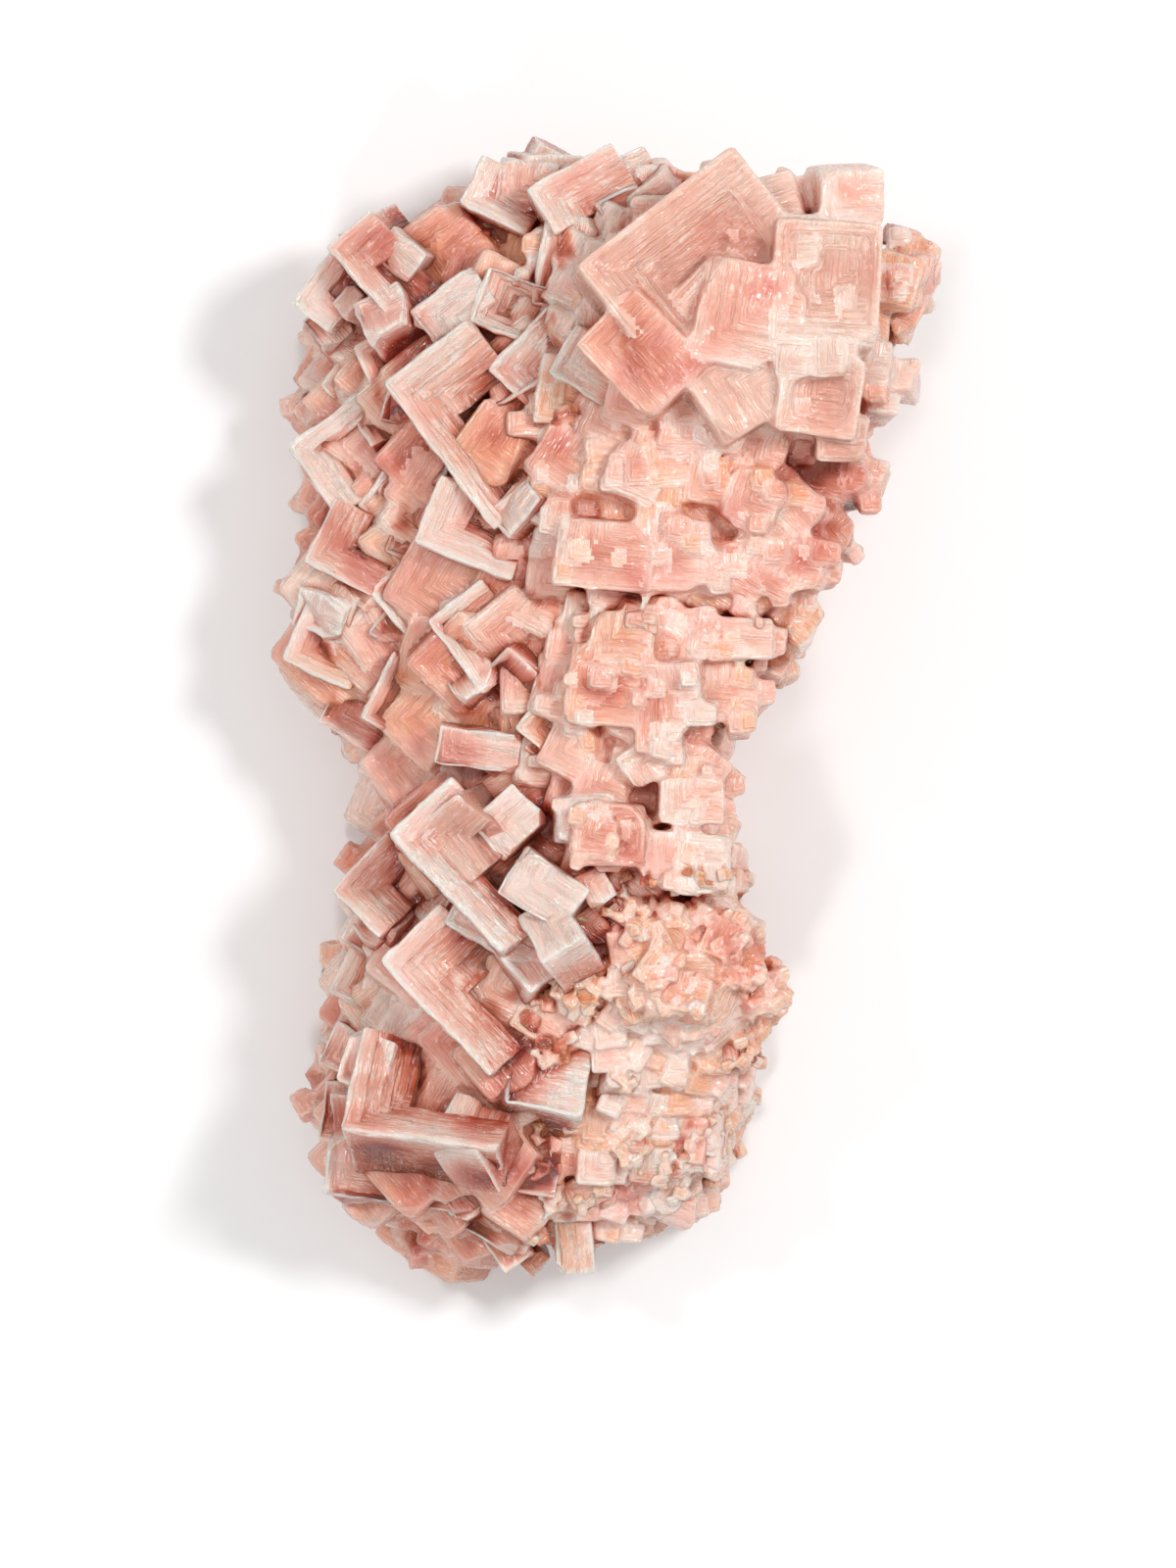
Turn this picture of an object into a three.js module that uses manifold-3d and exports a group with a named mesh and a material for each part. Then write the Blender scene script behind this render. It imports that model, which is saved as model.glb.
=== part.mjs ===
// Pink halite: a cluster of hopper cubes grown together on a crust of finer salt, lying on its broken back.
// Millimetres. +Y runs along the length, +Z is up through the showy side, and the origin lies on the flat
// resting face.
import * as THREE from 'three';
import { mergeVertices } from 'three/addons/utils/BufferGeometryUtils.js';
import Module from 'manifold-3d';

const wasm = await Module();
wasm.setup();

// Driving dimensions
const LENGTH = 200; // room for the whole cluster, end to end
const CRUST_DEPTH = 60; // how far the crust's sections go down before the flat break takes them off at zero
const STEP_DEPTH = 0.16; // of a chevron's shorter arm, from one ledge down to the next
const STEPPED = 0.66; // of an arm, the part of a chevron's face that its ledges and one floor more share out
const PIT_DEPTH = 0.3; // of a block's shorter arm, at the bottom of the pit in its face
const LEDGE_DEPTH = 0.08; // of a block's shorter arm, from one ledge of its pit down to the next
const RIM = 0.13; // of an arm, the width of a pit's ledge along the edges that meet at the free corner
const FAR_RIM = 0.08; // of an arm, the width of a pit's ledge along the edges that are grown in
const CUT_OVERRUN = 0.05; // how far a funnel starts above the face that it goes into
const CLEAR = 1; // how far a step's cut runs past the faces that it opens
const MOST_LEAN = 25; // degrees that a strewn crystal may lean
const NARROWEST = 0.7; // of a strewn crystal's size, its narrowest side
const BROADEST = 1.2; // of a strewn crystal's size, its broadest side
const LOWEST_RISE = -0.2; // of a mound's half height, where its crystals begin

const radians = THREE.MathUtils.degToRad;

// A crystal is placed by its free corner. Its first arm is turned by spin from +X, its second runs at right
// angles to that, clockwise, and its third goes down into the cluster. lean tips its face towards +X and +Y.
// A block's face is flat, or sinks by rims ledges to a four-sided pit.
const block = (at, arms, spin, lean = [0, 0], rims = 0) => ({ at, arms, spin, lean, rims, steps: 0 });

// A chevron is a crystal that grew on only at its edges: its face goes down in steps away from the free corner,
// and each step is open towards the cluster.
const chevron = (at, arms, spin, lean = [0, 0], steps = 2) => ({ at, arms, spin, lean, rims: 0, steps });

const TOP_LEFT = [
  chevron([-53.5, 70.5, 30], [13, 9, 14], 52, [-20, 5]),
  chevron([-47, 79, 37], [10, 18, 18], 42, [-8, 6]),
  chevron([-43, 62.5, 33], [14, 12, 14], 28, [-10, 0]),
  block([-33, 68, 40], [13, 8, 14], 38, [-8, 8]),
  block([-23, 66, 42], [10, 13, 14], 70, [-5, 5], 2),
  chevron([-24.7, 87, 36], [9.5, 13, 15], 62, [0, 8], 1),
  block([-19, 86, 35], [9.5, 10, 12], 80, [0, 8]),
  chevron([-13, 88.5, 43], [16.5, 9, 15], 30, [0, 8], 1),
  block([-28, 79, 24], [6, 12, 12], 60, [0, 10]),
  block([-22, 76, 28], [9, 11, 12], 78),
  block([-29, 72, 31], [8, 8, 10], 80),
  block([-12.5, 69, 42], [16, 9, 14], 80),
  block([-11, 59.5, 40], [10, 6, 12], 84),
  chevron([-12.5, 49, 47], [12, 27, 20], 78, [-5, -5], 2),
  block([-9.5, 57, 49], [10, 16, 16], 58, [-6, -6]),
];

const LEFT_COLUMNS = [
  chevron([-37.3, 55.5, 44], [18, 31, 16], 37, [-8, -4], 4),
  block([-19, 51, 41], [8, 9, 10], 35),
  chevron([-48.8, 57, 25], [7, 8, 14], 48, [-15, 0], 1),
  chevron([-54, 46, 29], [16, 15, 18], 37, [-18, 4]),
  block([-48, 36.5, 29], [9, 14, 14], 22, [-12, 0]),
  chevron([-51.3, 26.5, 31], [12.5, 14, 17], 62, [-15, 0]),
  block([-50, 20, 24], [8, 12, 14], 50),
  chevron([-55, 9.5, 28], [13.5, 13, 18], 66, [-12, -4]),
  block([-49.2, -1, 26], [8, 16, 16], 60, [-12, -6]),
  chevron([-41.5, -0.5, 34], [13, 15, 18], 62, [-8, -4]),
  chevron([-38.7, 38.5, 33], [10, 10, 12], 45, [-5, 0], 1),
  block([-37.8, 50, 35], [6, 12, 12], 75),
  chevron([-32.2, 29, 43], [12.5, 18, 16], 68, [-6, 0]),
  chevron([-40, 21, 34], [11, 14, 14], 40, [-6, 0]),
  block([-40, 14, 33], [8, 8, 12], 55),
  chevron([-29.8, 15.8, 43], [12, 15.5, 15], 37, [-6, 0], 3),
  chevron([-31, 6, 39], [6, 10, 12], 55, [-10, -5], 1),
  block([-20.5, 8, 41], [11.5, 16, 15], 80, [0, 0], 2),
  block([-20, -0.5, 39], [8, 15, 14], 78, [0, -6]),
  block([-14, 20, 37], [10, 7, 12], 78),
  block([-28.5, -8, 43], [6.5, 14.5, 14], 82, [-4, -6]),
  block([-33.5, -16, 30], [10, 10, 12], 75, [-12, 0]),
  chevron([-15, -2.5, 46], [7, 9, 12], 50, [-6, -6], 1),
];

const LOWER_FANS = [
  chevron([-36.2, -20, 47], [15, 28, 16], 44, [-5, 10], 3),
  block([-22.7, -17.5, 46], [10, 9, 10], 42, [-5, 10]),
  block([-18, -29.5, 50], [9, 13, 8], 58, [-4, 0]),
  block([-5, -27, 50], [5, 6, 8], 30),
  chevron([-46.5, -29.5, 33], [14, 12, 18], 48, [-15, 10]),
  block([-45, -38, 30], [10, 12, 14], 60, [-10, 0]),
  chevron([-37.6, -41, 46], [14, 27, 18], 44, [-6, 4], 3),
  block([-27, -35, 46], [7, 19, 14], 62),
  chevron([-47.5, -47, 27], [9, 10, 15], 62, [-10, 0], 1),
  chevron([-44.2, -69, 47], [19, 27, 20], 82, [-6, 26], 4),
  block([-49, -59, 27], [8, 9, 14], 62, [-10, 0]),
  block([-49, -72, 27], [10, 10, 14], 82, [-10, 0]),
  block([-48, -81.5, 29], [12, 24, 18], 82, [-6, -10], 1),
  block([-21, -80, 34], [9, 13, 11], 82, [0, -5], 1),
  block([-31, -78, 33], [8, 10, 10], 40, [0, -10]),
  block([-36, -84, 26], [8, 14, 12], 70, [0, -10]),
  block([-24, -87.5, 27], [7, 10, 14], 60),
  block([-21.5, -89, 22], [6, 8, 10], 35),
  block([-9, -83, 27], [6.5, 13, 14], 5, [0, -12]),
];

const UPPER_RIGHT = [
  block([-4.8, 73.5, 63], [33, 22, 20], 38, [3, 2], 2),
  block([19.5, 87, 56], [12, 12, 16], 17, [0, 4], 1),
  block([6.5, 92, 32], [11, 10, 16], 4),
  block([13.5, 58.5, 63], [17.5, 15, 18], 78, [0, -2], 1),
  block([27, 61, 64], [20.5, 18, 24], 87, [3, 2], 2),
  block([43, 70, 44], [9, 9, 18], 75),
  block([47, 67.5, 34], [9, 6, 20], 62),
  block([38, 54, 46], [10, 9.5, 20], 82, [4, 0], 1),
  block([27.5, 46.5, 62], [13.5, 14, 18], 82, [3, -6], 2),
  block([16, 49, 55], [10, 12, 12], 75, [0, 0], 1),
  block([-13.5, 37, 46], [10, 10, 14], 70, [0, 0], 1),
  block([-15, 30, 42], [7, 7, 12], 60),
  block([2.5, 37, 48], [9.5, 6, 12], 80),
  block([7, 37, 50], [10, 10, 12], 50, [0, 0], 1),
  block([-9, 21.5, 54], [11.5, 16, 16], 84, [-4, -3], 1),
  block([6.5, 20.5, 54], [12, 11, 14], 88, [0, 0], 1),
  block([19, 33, 54], [9, 9, 10], 70, [0, 0], 1),
  block([27, 22, 52], [9, 10, 12], 80, [4, 0], 1),
  block([17, 22, 52], [8, 9, 10], 60),
  block([26, 35, 52], [8, 9, 10], 45, [4, 0], 1),
  block([33, 38, 44], [10, 9, 14], 75, [8, 0], 1),
  block([34, 31, 43], [7, 7, 14], 45, [10, 0]),
  block([27, 17, 45], [8, 8, 14], 45, [10, 0]),
];

const WAIST_RIGHT = [
  block([2.5, 14, 52], [6, 7, 9], 70),
  block([8, 10.5, 51], [6, 6, 9], 85),
  block([14, 9.5, 53], [7, 14, 12], 88, [3, 0], 1),
  block([-6.5, -1.5, 52], [13.5, 12, 14], 86, [-3, -3], 1),
  block([-5, 12.5, 49], [5, 9, 12], 84),
  block([5, -6.5, 53], [15.5, 8, 14], 89, [0, 0], 1),
  block([12.8, -1, 51], [9.5, 13, 14], 88, [6, 0], 1),
  block([1.5, -7.5, 51], [7, 7, 10], 35, [0, -15]),
  block([9, -18, 52], [7.5, 11, 12], 88, [4, 0], 1),
  block([10, -9, 50], [8, 9, 10], 50, [5, 0]),
  block([-5.3, -25, 54], [10.5, 12, 12], 88, [0, 0], 2),
  block([6, -28, 52], [9, 15, 12], 86, [4, 0], 1),
  block([-16.5, -52, 42], [8, 10, 12], 60),
  block([-9.5, -47, 45], [9, 8, 12], 70),
];

// Salt that fills the hollows closed in under the crystals: [lowest corner], [highest corner]
const FILLED = [
  [[-39, -72, 21], [-29, -63, 28]],
  [[-24, -78, 27], [-19.5, -72.5, 32]],
  [[-32, 53.5, 27.5], [-29, 56, 29.5]],
  [[-27.5, 70.5, 25], [-25.5, 72, 31]],
  [[-36.5, 8.5, 26], [-34.5, 11, 29.5]],
  [[5.5, -8, 40], [8, -5.5, 42]],
  [[-12, 82, 25], [-9, 84, 28.5]],
];

// The crust that the crystals stand on, as sections from the top end to the bottom one:
// [y, left edge, right edge, height of the left shoulder, height of the right shoulder]
const CRUST = [
  [92, 4, 6, 20, 22],
  [88, -12, 16, 26, 36],
  [78, -32, 38, 28, 50],
  [66, -44, 46, 30, 54],
  [52, -44, 42, 31, 54],
  [38, -45, 36, 31, 50],
  [22, -46, 32, 31, 48],
  [6, -46, 26, 30, 46],
  [-6, -36, 17, 30, 44],
  [-18, -31, 17, 30, 44],
  [-32, -38, 21, 32, 44],
  [-48, -41, 25, 32, 42],
  [-62, -41, 24, 31, 36],
  [-76, -43, 20, 28, 31],
  [-85, -36, 17, 21, 24],
  [-90, -12, -4, 16, 18],
];
const CRUST_SIDES = 14;
const SHOULDER = 0.55; // how square the crust's sections are: 1 is round, and less is squarer
const VALLEY = [0.15, 0.7]; // across a section, where the left shoulder starts to rise and the right one is reached

// Small crystals are strewn over the crust by a fixed series of draws, so they fall in the same places each time.
const STREWN = { count: 66, smallest: 5, largest: 10, seed: 7 };

// The lower right is a sugary mass of small crystals on two mounds.
const SUGARY = [
  { centre: [13, -44, 26], half: [15, 16, 20], count: 34, smallest: 5, largest: 9, seed: 11 },
  { centre: [8, -70, 16], half: [11, 13, 17], count: 24, smallest: 4, largest: 8, seed: 5 },
];

function* draws(seed) {
  const modulus = 2147483647;
  for (let state = seed; ; ) {
    state = (state * 16807) % modulus;
    yield state / modulus;
  }
}

// The point of the crust's skin at a place along it and an angle round its section, where 0 is the right side,
// 90 degrees the top and 180 degrees the left side.
function crustPoint(y, angle) {
  const after = Math.max(1, CRUST.findIndex((section) => section[0] <= y));
  const [before, next] = [CRUST[after - 1], CRUST[after]];
  const share = (before[0] - y) / (before[0] - next[0]);
  const [left, right, leftTop, rightTop] = [1, 2, 3, 4].map((k) => before[k] + (next[k] - before[k]) * share);
  const squared = (value) => Math.sign(value) * Math.abs(value) ** SHOULDER;
  const across = (1 + squared(Math.cos(angle))) / 2;
  const top = leftTop + (rightTop - leftTop) * THREE.MathUtils.smoothstep(across, ...VALLEY);
  const height = Math.sin(angle) > 0 ? top * squared(Math.sin(angle)) : CRUST_DEPTH * Math.sin(angle);
  return [left + (right - left) * across, y, height];
}

// A ball whose rows are drawn out to the crust's sections.
function crustSolid() {
  const ball = new THREE.SphereGeometry(1, CRUST_SIDES, CRUST.length - 1);
  const place = ball.attributes.position;
  for (let i = 0; i < place.count; i++) {
    const row = Math.floor(i / (CRUST_SIDES + 1));
    const column = i % (CRUST_SIDES + 1);
    const end = row === 0 || row === CRUST.length - 1;
    const [x, y, z] = crustPoint(CRUST[row][0], -(2 * Math.PI * column) / CRUST_SIDES);
    const middle = (CRUST[row][1] + CRUST[row][2]) / 2;
    place.setXYZ(i, end ? middle : x, y, end ? CRUST[row][3] / 2 : z);
  }
  return solidOf(ball, new THREE.Matrix4());
}

// A loose block centred on a point.
function blockAbout(centre, arms, spin, lean) {
  const loose = block([0, 0, 0], arms, spin, lean);
  const middle = new THREE.Vector3(...arms).divideScalar(2).applyMatrix4(placeOf(loose));
  return { ...loose, at: centre.map((value, i) => value - middle.getComponent(i)) };
}

function drawer(seed) {
  const series = draws(seed);
  return (low, high) => low + (high - low) * series.next().value;
}

function grain(centre, size, draw) {
  const arms = [size, size * draw(NARROWEST, BROADEST), size];
  const lean = () => draw(-MOST_LEAN, MOST_LEAN);
  return blockAbout(centre, arms, draw(0, 90), [lean(), lean()]);
}

function strewnBlocks() {
  const draw = drawer(STREWN.seed);
  const [top, bottom] = [CRUST[1][0], CRUST[CRUST.length - 2][0]];
  return Array.from({ length: STREWN.count }, () => {
    const centre = crustPoint(draw(bottom, top), draw(0, Math.PI));
    return grain(centre, draw(STREWN.smallest, STREWN.largest), draw);
  });
}

// Crystals over a mound's top and upper sides.
function sugaryBlocks({ centre, half, count, smallest, largest, seed }) {
  const draw = drawer(seed);
  return Array.from({ length: count }, () => {
    const turn = draw(0, 2 * Math.PI);
    const rise = draw(LOWEST_RISE, 1);
    const out = Math.sqrt(1 - rise * rise);
    const toward = [out * Math.cos(turn), out * Math.sin(turn), rise];
    return grain(centre.map((value, i) => value + half[i] * toward[i]), draw(smallest, largest), draw);
  });
}

const MERGED = 1e-4; // points closer than this are one

// A closed geometry as a solid, carried by a matrix.
function solidOf(geometry, matrix) {
  const bare = geometry.clone().applyMatrix4(matrix);
  bare.deleteAttribute('normal');
  bare.deleteAttribute('uv');
  const merged = mergeVertices(bare, MERGED);
  return new wasm.Manifold(new wasm.Mesh({
    numProp: 3,
    vertProperties: new Float32Array(merged.attributes.position.array),
    triVerts: new Uint32Array(merged.index.array),
  }));
}

// The box between two corners, in a block's own frame.
function boxBetween(low, high, matrix) {
  const size = high.map((value, i) => value - low[i]);
  const middle = high.map((value, i) => (value + low[i]) / 2);
  return solidOf(new THREE.BoxGeometry(...size).translate(...middle), matrix);
}

function placeOf({ at, spin, lean }) {
  return new THREE.Matrix4().makeTranslation(...at)
    .multiply(new THREE.Matrix4().makeRotationY(radians(lean[0])))
    .multiply(new THREE.Matrix4().makeRotationX(radians(-lean[1])))
    .multiply(new THREE.Matrix4().makeRotationZ(radians(spin)))
    .multiply(new THREE.Matrix4().makeRotationX(Math.PI));
}

// The four-sided funnel from a rim at one depth down to a point at another, in a crystal's own frame.
function funnel(low, high, top, bottom, matrix) {
  const size = [high[0] - low[0], high[1] - low[1], bottom - top];
  const middle = [(low[0] + high[0]) / 2, (low[1] + high[1]) / 2, (top + bottom) / 2];
  const pyramid = new THREE.ConeGeometry(Math.SQRT1_2, 1, 4).rotateY(Math.PI / 4).rotateX(Math.PI / 2);
  return solidOf(pyramid.scale(...size).translate(...middle), matrix);
}

// Takes steps down from a chevron's face, each open on the two sides that are grown in.
function cutSteps(solid, arms, steps, matrix) {
  const drop = STEP_DEPTH * Math.min(arms[0], arms[1]);
  for (let step = 1; step <= steps; step++) {
    const inner = [arms[0], arms[1]].map((arm) => (STEPPED * arm * step) / (steps + 1));
    const outer = [arms[0] + CLEAR, arms[1] + CLEAR];
    solid = solid.subtract(boxBetween([...inner, -CLEAR], [...outer, drop * step], matrix));
  }
  return solid;
}

// Sinks a pit into a block's face, ledge by ledge and then as a funnel.
function cutPit(solid, arms, rims, matrix) {
  const shorter = Math.min(arms[0], arms[1]);
  for (let rim = 1; rim <= rims; rim++) {
    const low = [RIM * arms[0] * rim, RIM * arms[1] * rim];
    const high = [arms[0] * (1 - FAR_RIM * rim), arms[1] * (1 - FAR_RIM * rim)];
    const top = LEDGE_DEPTH * shorter * (rim - 1);
    const cut = rim < rims
      ? boxBetween([...low, -CLEAR], [...high, LEDGE_DEPTH * shorter * rim], matrix)
      : funnel(low, high, top - CUT_OVERRUN, PIT_DEPTH * shorter, matrix);
    solid = solid.subtract(cut);
  }
  return solid;
}

function crystalSolid(crystal) {
  const { arms, steps, rims } = crystal;
  const matrix = placeOf(crystal);
  const whole = boxBetween([0, 0, 0], arms, matrix);
  return cutPit(cutSteps(whole, arms, steps, matrix), arms, rims, matrix);
}

function moundSolid({ centre, half }) {
  const place = new THREE.Matrix4().makeTranslation(...centre).scale(new THREE.Vector3(...half));
  return solidOf(new THREE.IcosahedronGeometry(1, 1), place);
}

// Joins neighbours two by two until one solid is left.
function joined(solids) {
  while (solids.length > 1) {
    const halfway = Math.ceil(solids.length / 2);
    const others = solids.slice(halfway);
    solids = solids.slice(0, halfway).map((solid, i) => (others[i] ? solid.add(others[i]) : solid));
  }
  return solids[0];
}

function cluster() {
  const crystals = [
    ...TOP_LEFT, ...LEFT_COLUMNS, ...LOWER_FANS, ...UPPER_RIGHT, ...WAIST_RIGHT,
    ...strewnBlocks(), ...SUGARY.flatMap(sugaryBlocks),
  ];
  const unturned = new THREE.Matrix4();
  const fillings = FILLED.map(([low, high]) => boxBetween(low, high, unturned));
  const grown = joined([crustSolid(), ...SUGARY.map(moundSolid), ...crystals.map(crystalSolid), ...fillings]);
  const underneath = boxBetween([-LENGTH, -LENGTH, -LENGTH], [LENGTH, LENGTH, 0], unturned);
  return grown.subtract(underneath);
}

function meshOf(solid, name, material) {
  const made = solid.getMesh();
  const geometry = new THREE.BufferGeometry()
    .setAttribute('position', new THREE.BufferAttribute(made.vertProperties, made.numProp))
    .setIndex(new THREE.BufferAttribute(made.triVerts, 1));
  geometry.computeVertexNormals();
  const mesh = new THREE.Mesh(geometry, material);
  mesh.name = name;
  return mesh;
}

const pinkSalt = new THREE.MeshStandardMaterial({ color: 0xeab9ac, roughness: 0.35, metalness: 0 });

const specimen = new THREE.Group();
specimen.add(meshOf(cluster(), 'halite_cluster', pinkSalt));

export default specimen;
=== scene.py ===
"""Pink halite: a cluster of hopper cubes on a crust of finer salt, lying on its flat broken back.

Crystals are modelled in millimetres in their own frame, then carried to metres in the shared frame.
"""

import logging
import math
from collections.abc import Callable, Iterator
from contextlib import contextmanager
from dataclasses import dataclass, field
from enum import Enum

import bmesh
import bpy
import numpy as np
from mathutils import Matrix, Vector, noise
from mathutils.bvhtree import BVHTree


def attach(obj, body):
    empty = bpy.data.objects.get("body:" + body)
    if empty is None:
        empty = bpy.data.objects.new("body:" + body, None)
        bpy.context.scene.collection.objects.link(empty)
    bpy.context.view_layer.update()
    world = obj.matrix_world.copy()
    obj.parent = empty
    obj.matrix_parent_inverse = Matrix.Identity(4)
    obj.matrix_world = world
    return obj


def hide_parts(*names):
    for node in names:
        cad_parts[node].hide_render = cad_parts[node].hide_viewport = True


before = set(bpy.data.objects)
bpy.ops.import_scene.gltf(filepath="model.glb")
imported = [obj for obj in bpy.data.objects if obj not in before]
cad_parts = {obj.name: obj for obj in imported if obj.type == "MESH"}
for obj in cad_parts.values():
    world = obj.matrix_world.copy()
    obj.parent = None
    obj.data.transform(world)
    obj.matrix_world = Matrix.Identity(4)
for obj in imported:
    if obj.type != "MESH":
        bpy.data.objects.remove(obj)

MM = 0.001
NODE = "halite_cluster"
NOISE_SEED = 5  # without one, noise_vector gives other waves on every run
BODY = "root"
NOTES = ("corner", "along", "across", "arms", "finish")  # what each face notes of its crystal
FLAT = 0.99  # of a normal's length, along the axis that a face looks
LIFT = 0.00008  # how far off the surface a look round starts, in metres
NO_FAR_RIM = (900, 900, 900)  # longer than any arm, so that no rim shows on the grown-in side
Thing = bpy.types.Object
Triple = tuple[float, float, float]
Pair = tuple[float, float]

log = logging.getLogger("halite")


class Draws:
    """A fixed series of draws, the same on every run."""

    def __init__(self, seed: int) -> None:
        """Start the series at a seed."""
        self.state = seed

    def between(self, low: float, high: float) -> float:
        """The next draw, between two limits."""
        self.state = (self.state * 16807) % 2147483647
        return low + (high - low) * self.state / 2147483647

    def whole(self, count: int) -> int:
        """The next draw, as a whole number from 0 up to count - 1."""
        return min(count - 1, int(self.between(0, count)))


class Finish(Enum):
    """How a crystal's salt looks: (tone, frost, warmth), each from 0 to 1."""

    MILKY = (0.45, 0.25, 0.35)
    PALE = (0.78, 0.45, 0.3)
    FROSTED = (0.85, 1.0, 0.25)
    CLEAR = (0.5, 0.2, 0.0)
    ROSY = (0.1, 0.15, 0.45)
    WARM = (0.5, 0.25, 0.7)
    SUGARY = (1.0, 0.7, 1.0)


@dataclass(frozen=True)
class Crystal:
    """A crystal placed by its free corner, in millimetres and degrees.

    The first arm is turned by spin from +X, the second runs at right angles to that, clockwise, and the
    third goes down into the cluster. lean tips the face towards +X and +Y. A face with steps goes down in
    ledges that are open away from the free corner, and one with more than one rim sinks to a closed pit.
    """

    at: Triple
    arms: Triple
    spin: float
    lean: Pair = (0, 0)
    rims: int = 0
    steps: int = 0
    finish: Finish = Finish.MILKY

    def place(self) -> Matrix:
        """The matrix from the crystal's own millimetres to the shared frame's metres."""
        turn = Matrix.Rotation(math.radians(self.lean[0]), 4, "Y")
        turn @= Matrix.Rotation(math.radians(-self.lean[1]), 4, "X")
        turn @= Matrix.Rotation(math.radians(self.spin), 4, "Z")
        turn @= Matrix.Rotation(math.pi, 4, "X")
        return Matrix.Scale(MM, 4) @ Matrix.Translation(self.at) @ turn

    def shorter(self) -> float:
        """The shorter of the two arms along the face."""
        return min(self.arms[0], self.arms[1])

    def middle(self) -> Vector:
        """Its middle in the shared frame, in metres."""
        return self.place() @ (Vector(self.arms) / 2)


def centred(centre: Vector, arms: Triple, spin: float, lean: Pair, finish: Finish) -> Crystal:
    """A block whose middle lies on a point in millimetres."""
    middle = Crystal((0, 0, 0), arms, spin, lean).middle() / MM
    return Crystal(tuple(centre - middle), arms, spin, lean, finish=finish)


def block(
    at: Triple, arms: Triple, spin: float, lean: Pair = (0, 0), rims: int = 0, **look: Finish
) -> Crystal:
    """A crystal with a hollow or pitted face."""
    return Crystal(at, arms, spin, lean, rims, **look)


def chevron(
    at: Triple, arms: Triple, spin: float, lean: Pair = (0, 0), steps: int = 2, **look: Finish
) -> Crystal:
    """A crystal that grew on at its edges alone, so that its face steps down towards the cluster."""
    return Crystal(at, arms, spin, lean, steps=steps, **look)


MILKY, PALE, FROSTED, CLEAR, ROSY, WARM, SUGARY = Finish

TOP_LEFT = [
    chevron((-53.5, 70.5, 30), (13, 9, 14), 52, (-20, 5), finish=PALE),
    chevron((-47, 79, 37), (10, 18, 18), 42, (-8, 6), finish=PALE),
    chevron((-43, 62.5, 33), (14, 12, 14), 28, (-10, 0)),
    block((-33, 68, 40), (13, 8, 14), 38, (-8, 8), finish=FROSTED),
    block((-23, 66, 42), (10, 13, 14), 70, (-5, 5), 2),
    chevron((-24.7, 87, 36), (9.5, 13, 15), 62, (0, 8), 1),
    block((-19, 86, 35), (9.5, 10, 12), 80, (0, 8)),
    chevron((-13, 88.5, 43), (16.5, 9, 15), 30, (0, 8), 1, finish=PALE),
    block((-28, 79, 24), (6, 12, 12), 60, (0, 10), finish=WARM),
    block((-22, 76, 28), (9, 11, 12), 78, finish=WARM),
    block((-29, 72, 31), (8, 8, 10), 80, finish=FROSTED),
    block((-12.5, 69, 42), (16, 9, 14), 80),
    block((-11, 59.5, 40), (10, 6, 12), 84, finish=ROSY),
    chevron((-12.5, 49, 47), (12, 27, 20), 78, (-5, -5), 2, finish=SUGARY),
    block((-9.5, 57, 49), (10, 16, 16), 58, (-6, -6)),
]

LEFT_COLUMNS = [
    chevron((-37.3, 55.5, 44), (18, 31, 16), 37, (-8, -4), 4),
    block((-19, 51, 41), (8, 9, 10), 35, finish=SUGARY),
    chevron((-48.8, 57, 25), (7, 8, 14), 48, (-15, 0), 1),
    chevron((-54, 46, 29), (16, 15, 18), 37, (-18, 4), finish=PALE),
    block((-48, 36.5, 29), (9, 14, 14), 22, (-12, 0)),
    chevron((-51.3, 26.5, 31), (12.5, 14, 17), 62, (-15, 0)),
    block((-50, 20, 24), (8, 12, 14), 50, finish=WARM),
    chevron((-55, 9.5, 28), (13.5, 13, 18), 66, (-12, -4), finish=WARM),
    block((-49.2, -1, 26), (8, 16, 16), 60, (-12, -6)),
    chevron((-41.5, -0.5, 34), (13, 15, 18), 62, (-8, -4)),
    chevron((-38.7, 38.5, 33), (10, 10, 12), 45, (-5, 0), 1, finish=FROSTED),
    block((-37.8, 50, 35), (6, 12, 12), 75, finish=FROSTED),
    chevron((-32.2, 29, 43), (12.5, 18, 16), 68, (-6, 0)),
    chevron((-40, 21, 34), (11, 14, 14), 40, (-6, 0), finish=FROSTED),
    block((-40, 14, 33), (8, 8, 12), 55, finish=FROSTED),
    chevron((-29.8, 15.8, 43), (12, 15.5, 15), 37, (-6, 0), 3),
    chevron((-31, 6, 39), (6, 10, 12), 55, (-10, -5), 1, finish=FROSTED),
    block((-20.5, 8, 41), (11.5, 16, 15), 80, (0, 0), 2),
    block((-20, -0.5, 39), (8, 15, 14), 78, (0, -6), finish=ROSY),
    block((-14, 20, 37), (10, 7, 12), 78, finish=ROSY),
    block((-28.5, -8, 43), (6.5, 14.5, 14), 82, (-4, -6), finish=PALE),
    block((-33.5, -16, 30), (10, 10, 12), 75, (-12, 0), finish=ROSY),
    chevron((-15, -2.5, 46), (7, 9, 12), 50, (-6, -6), 1, finish=WARM),
]

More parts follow.
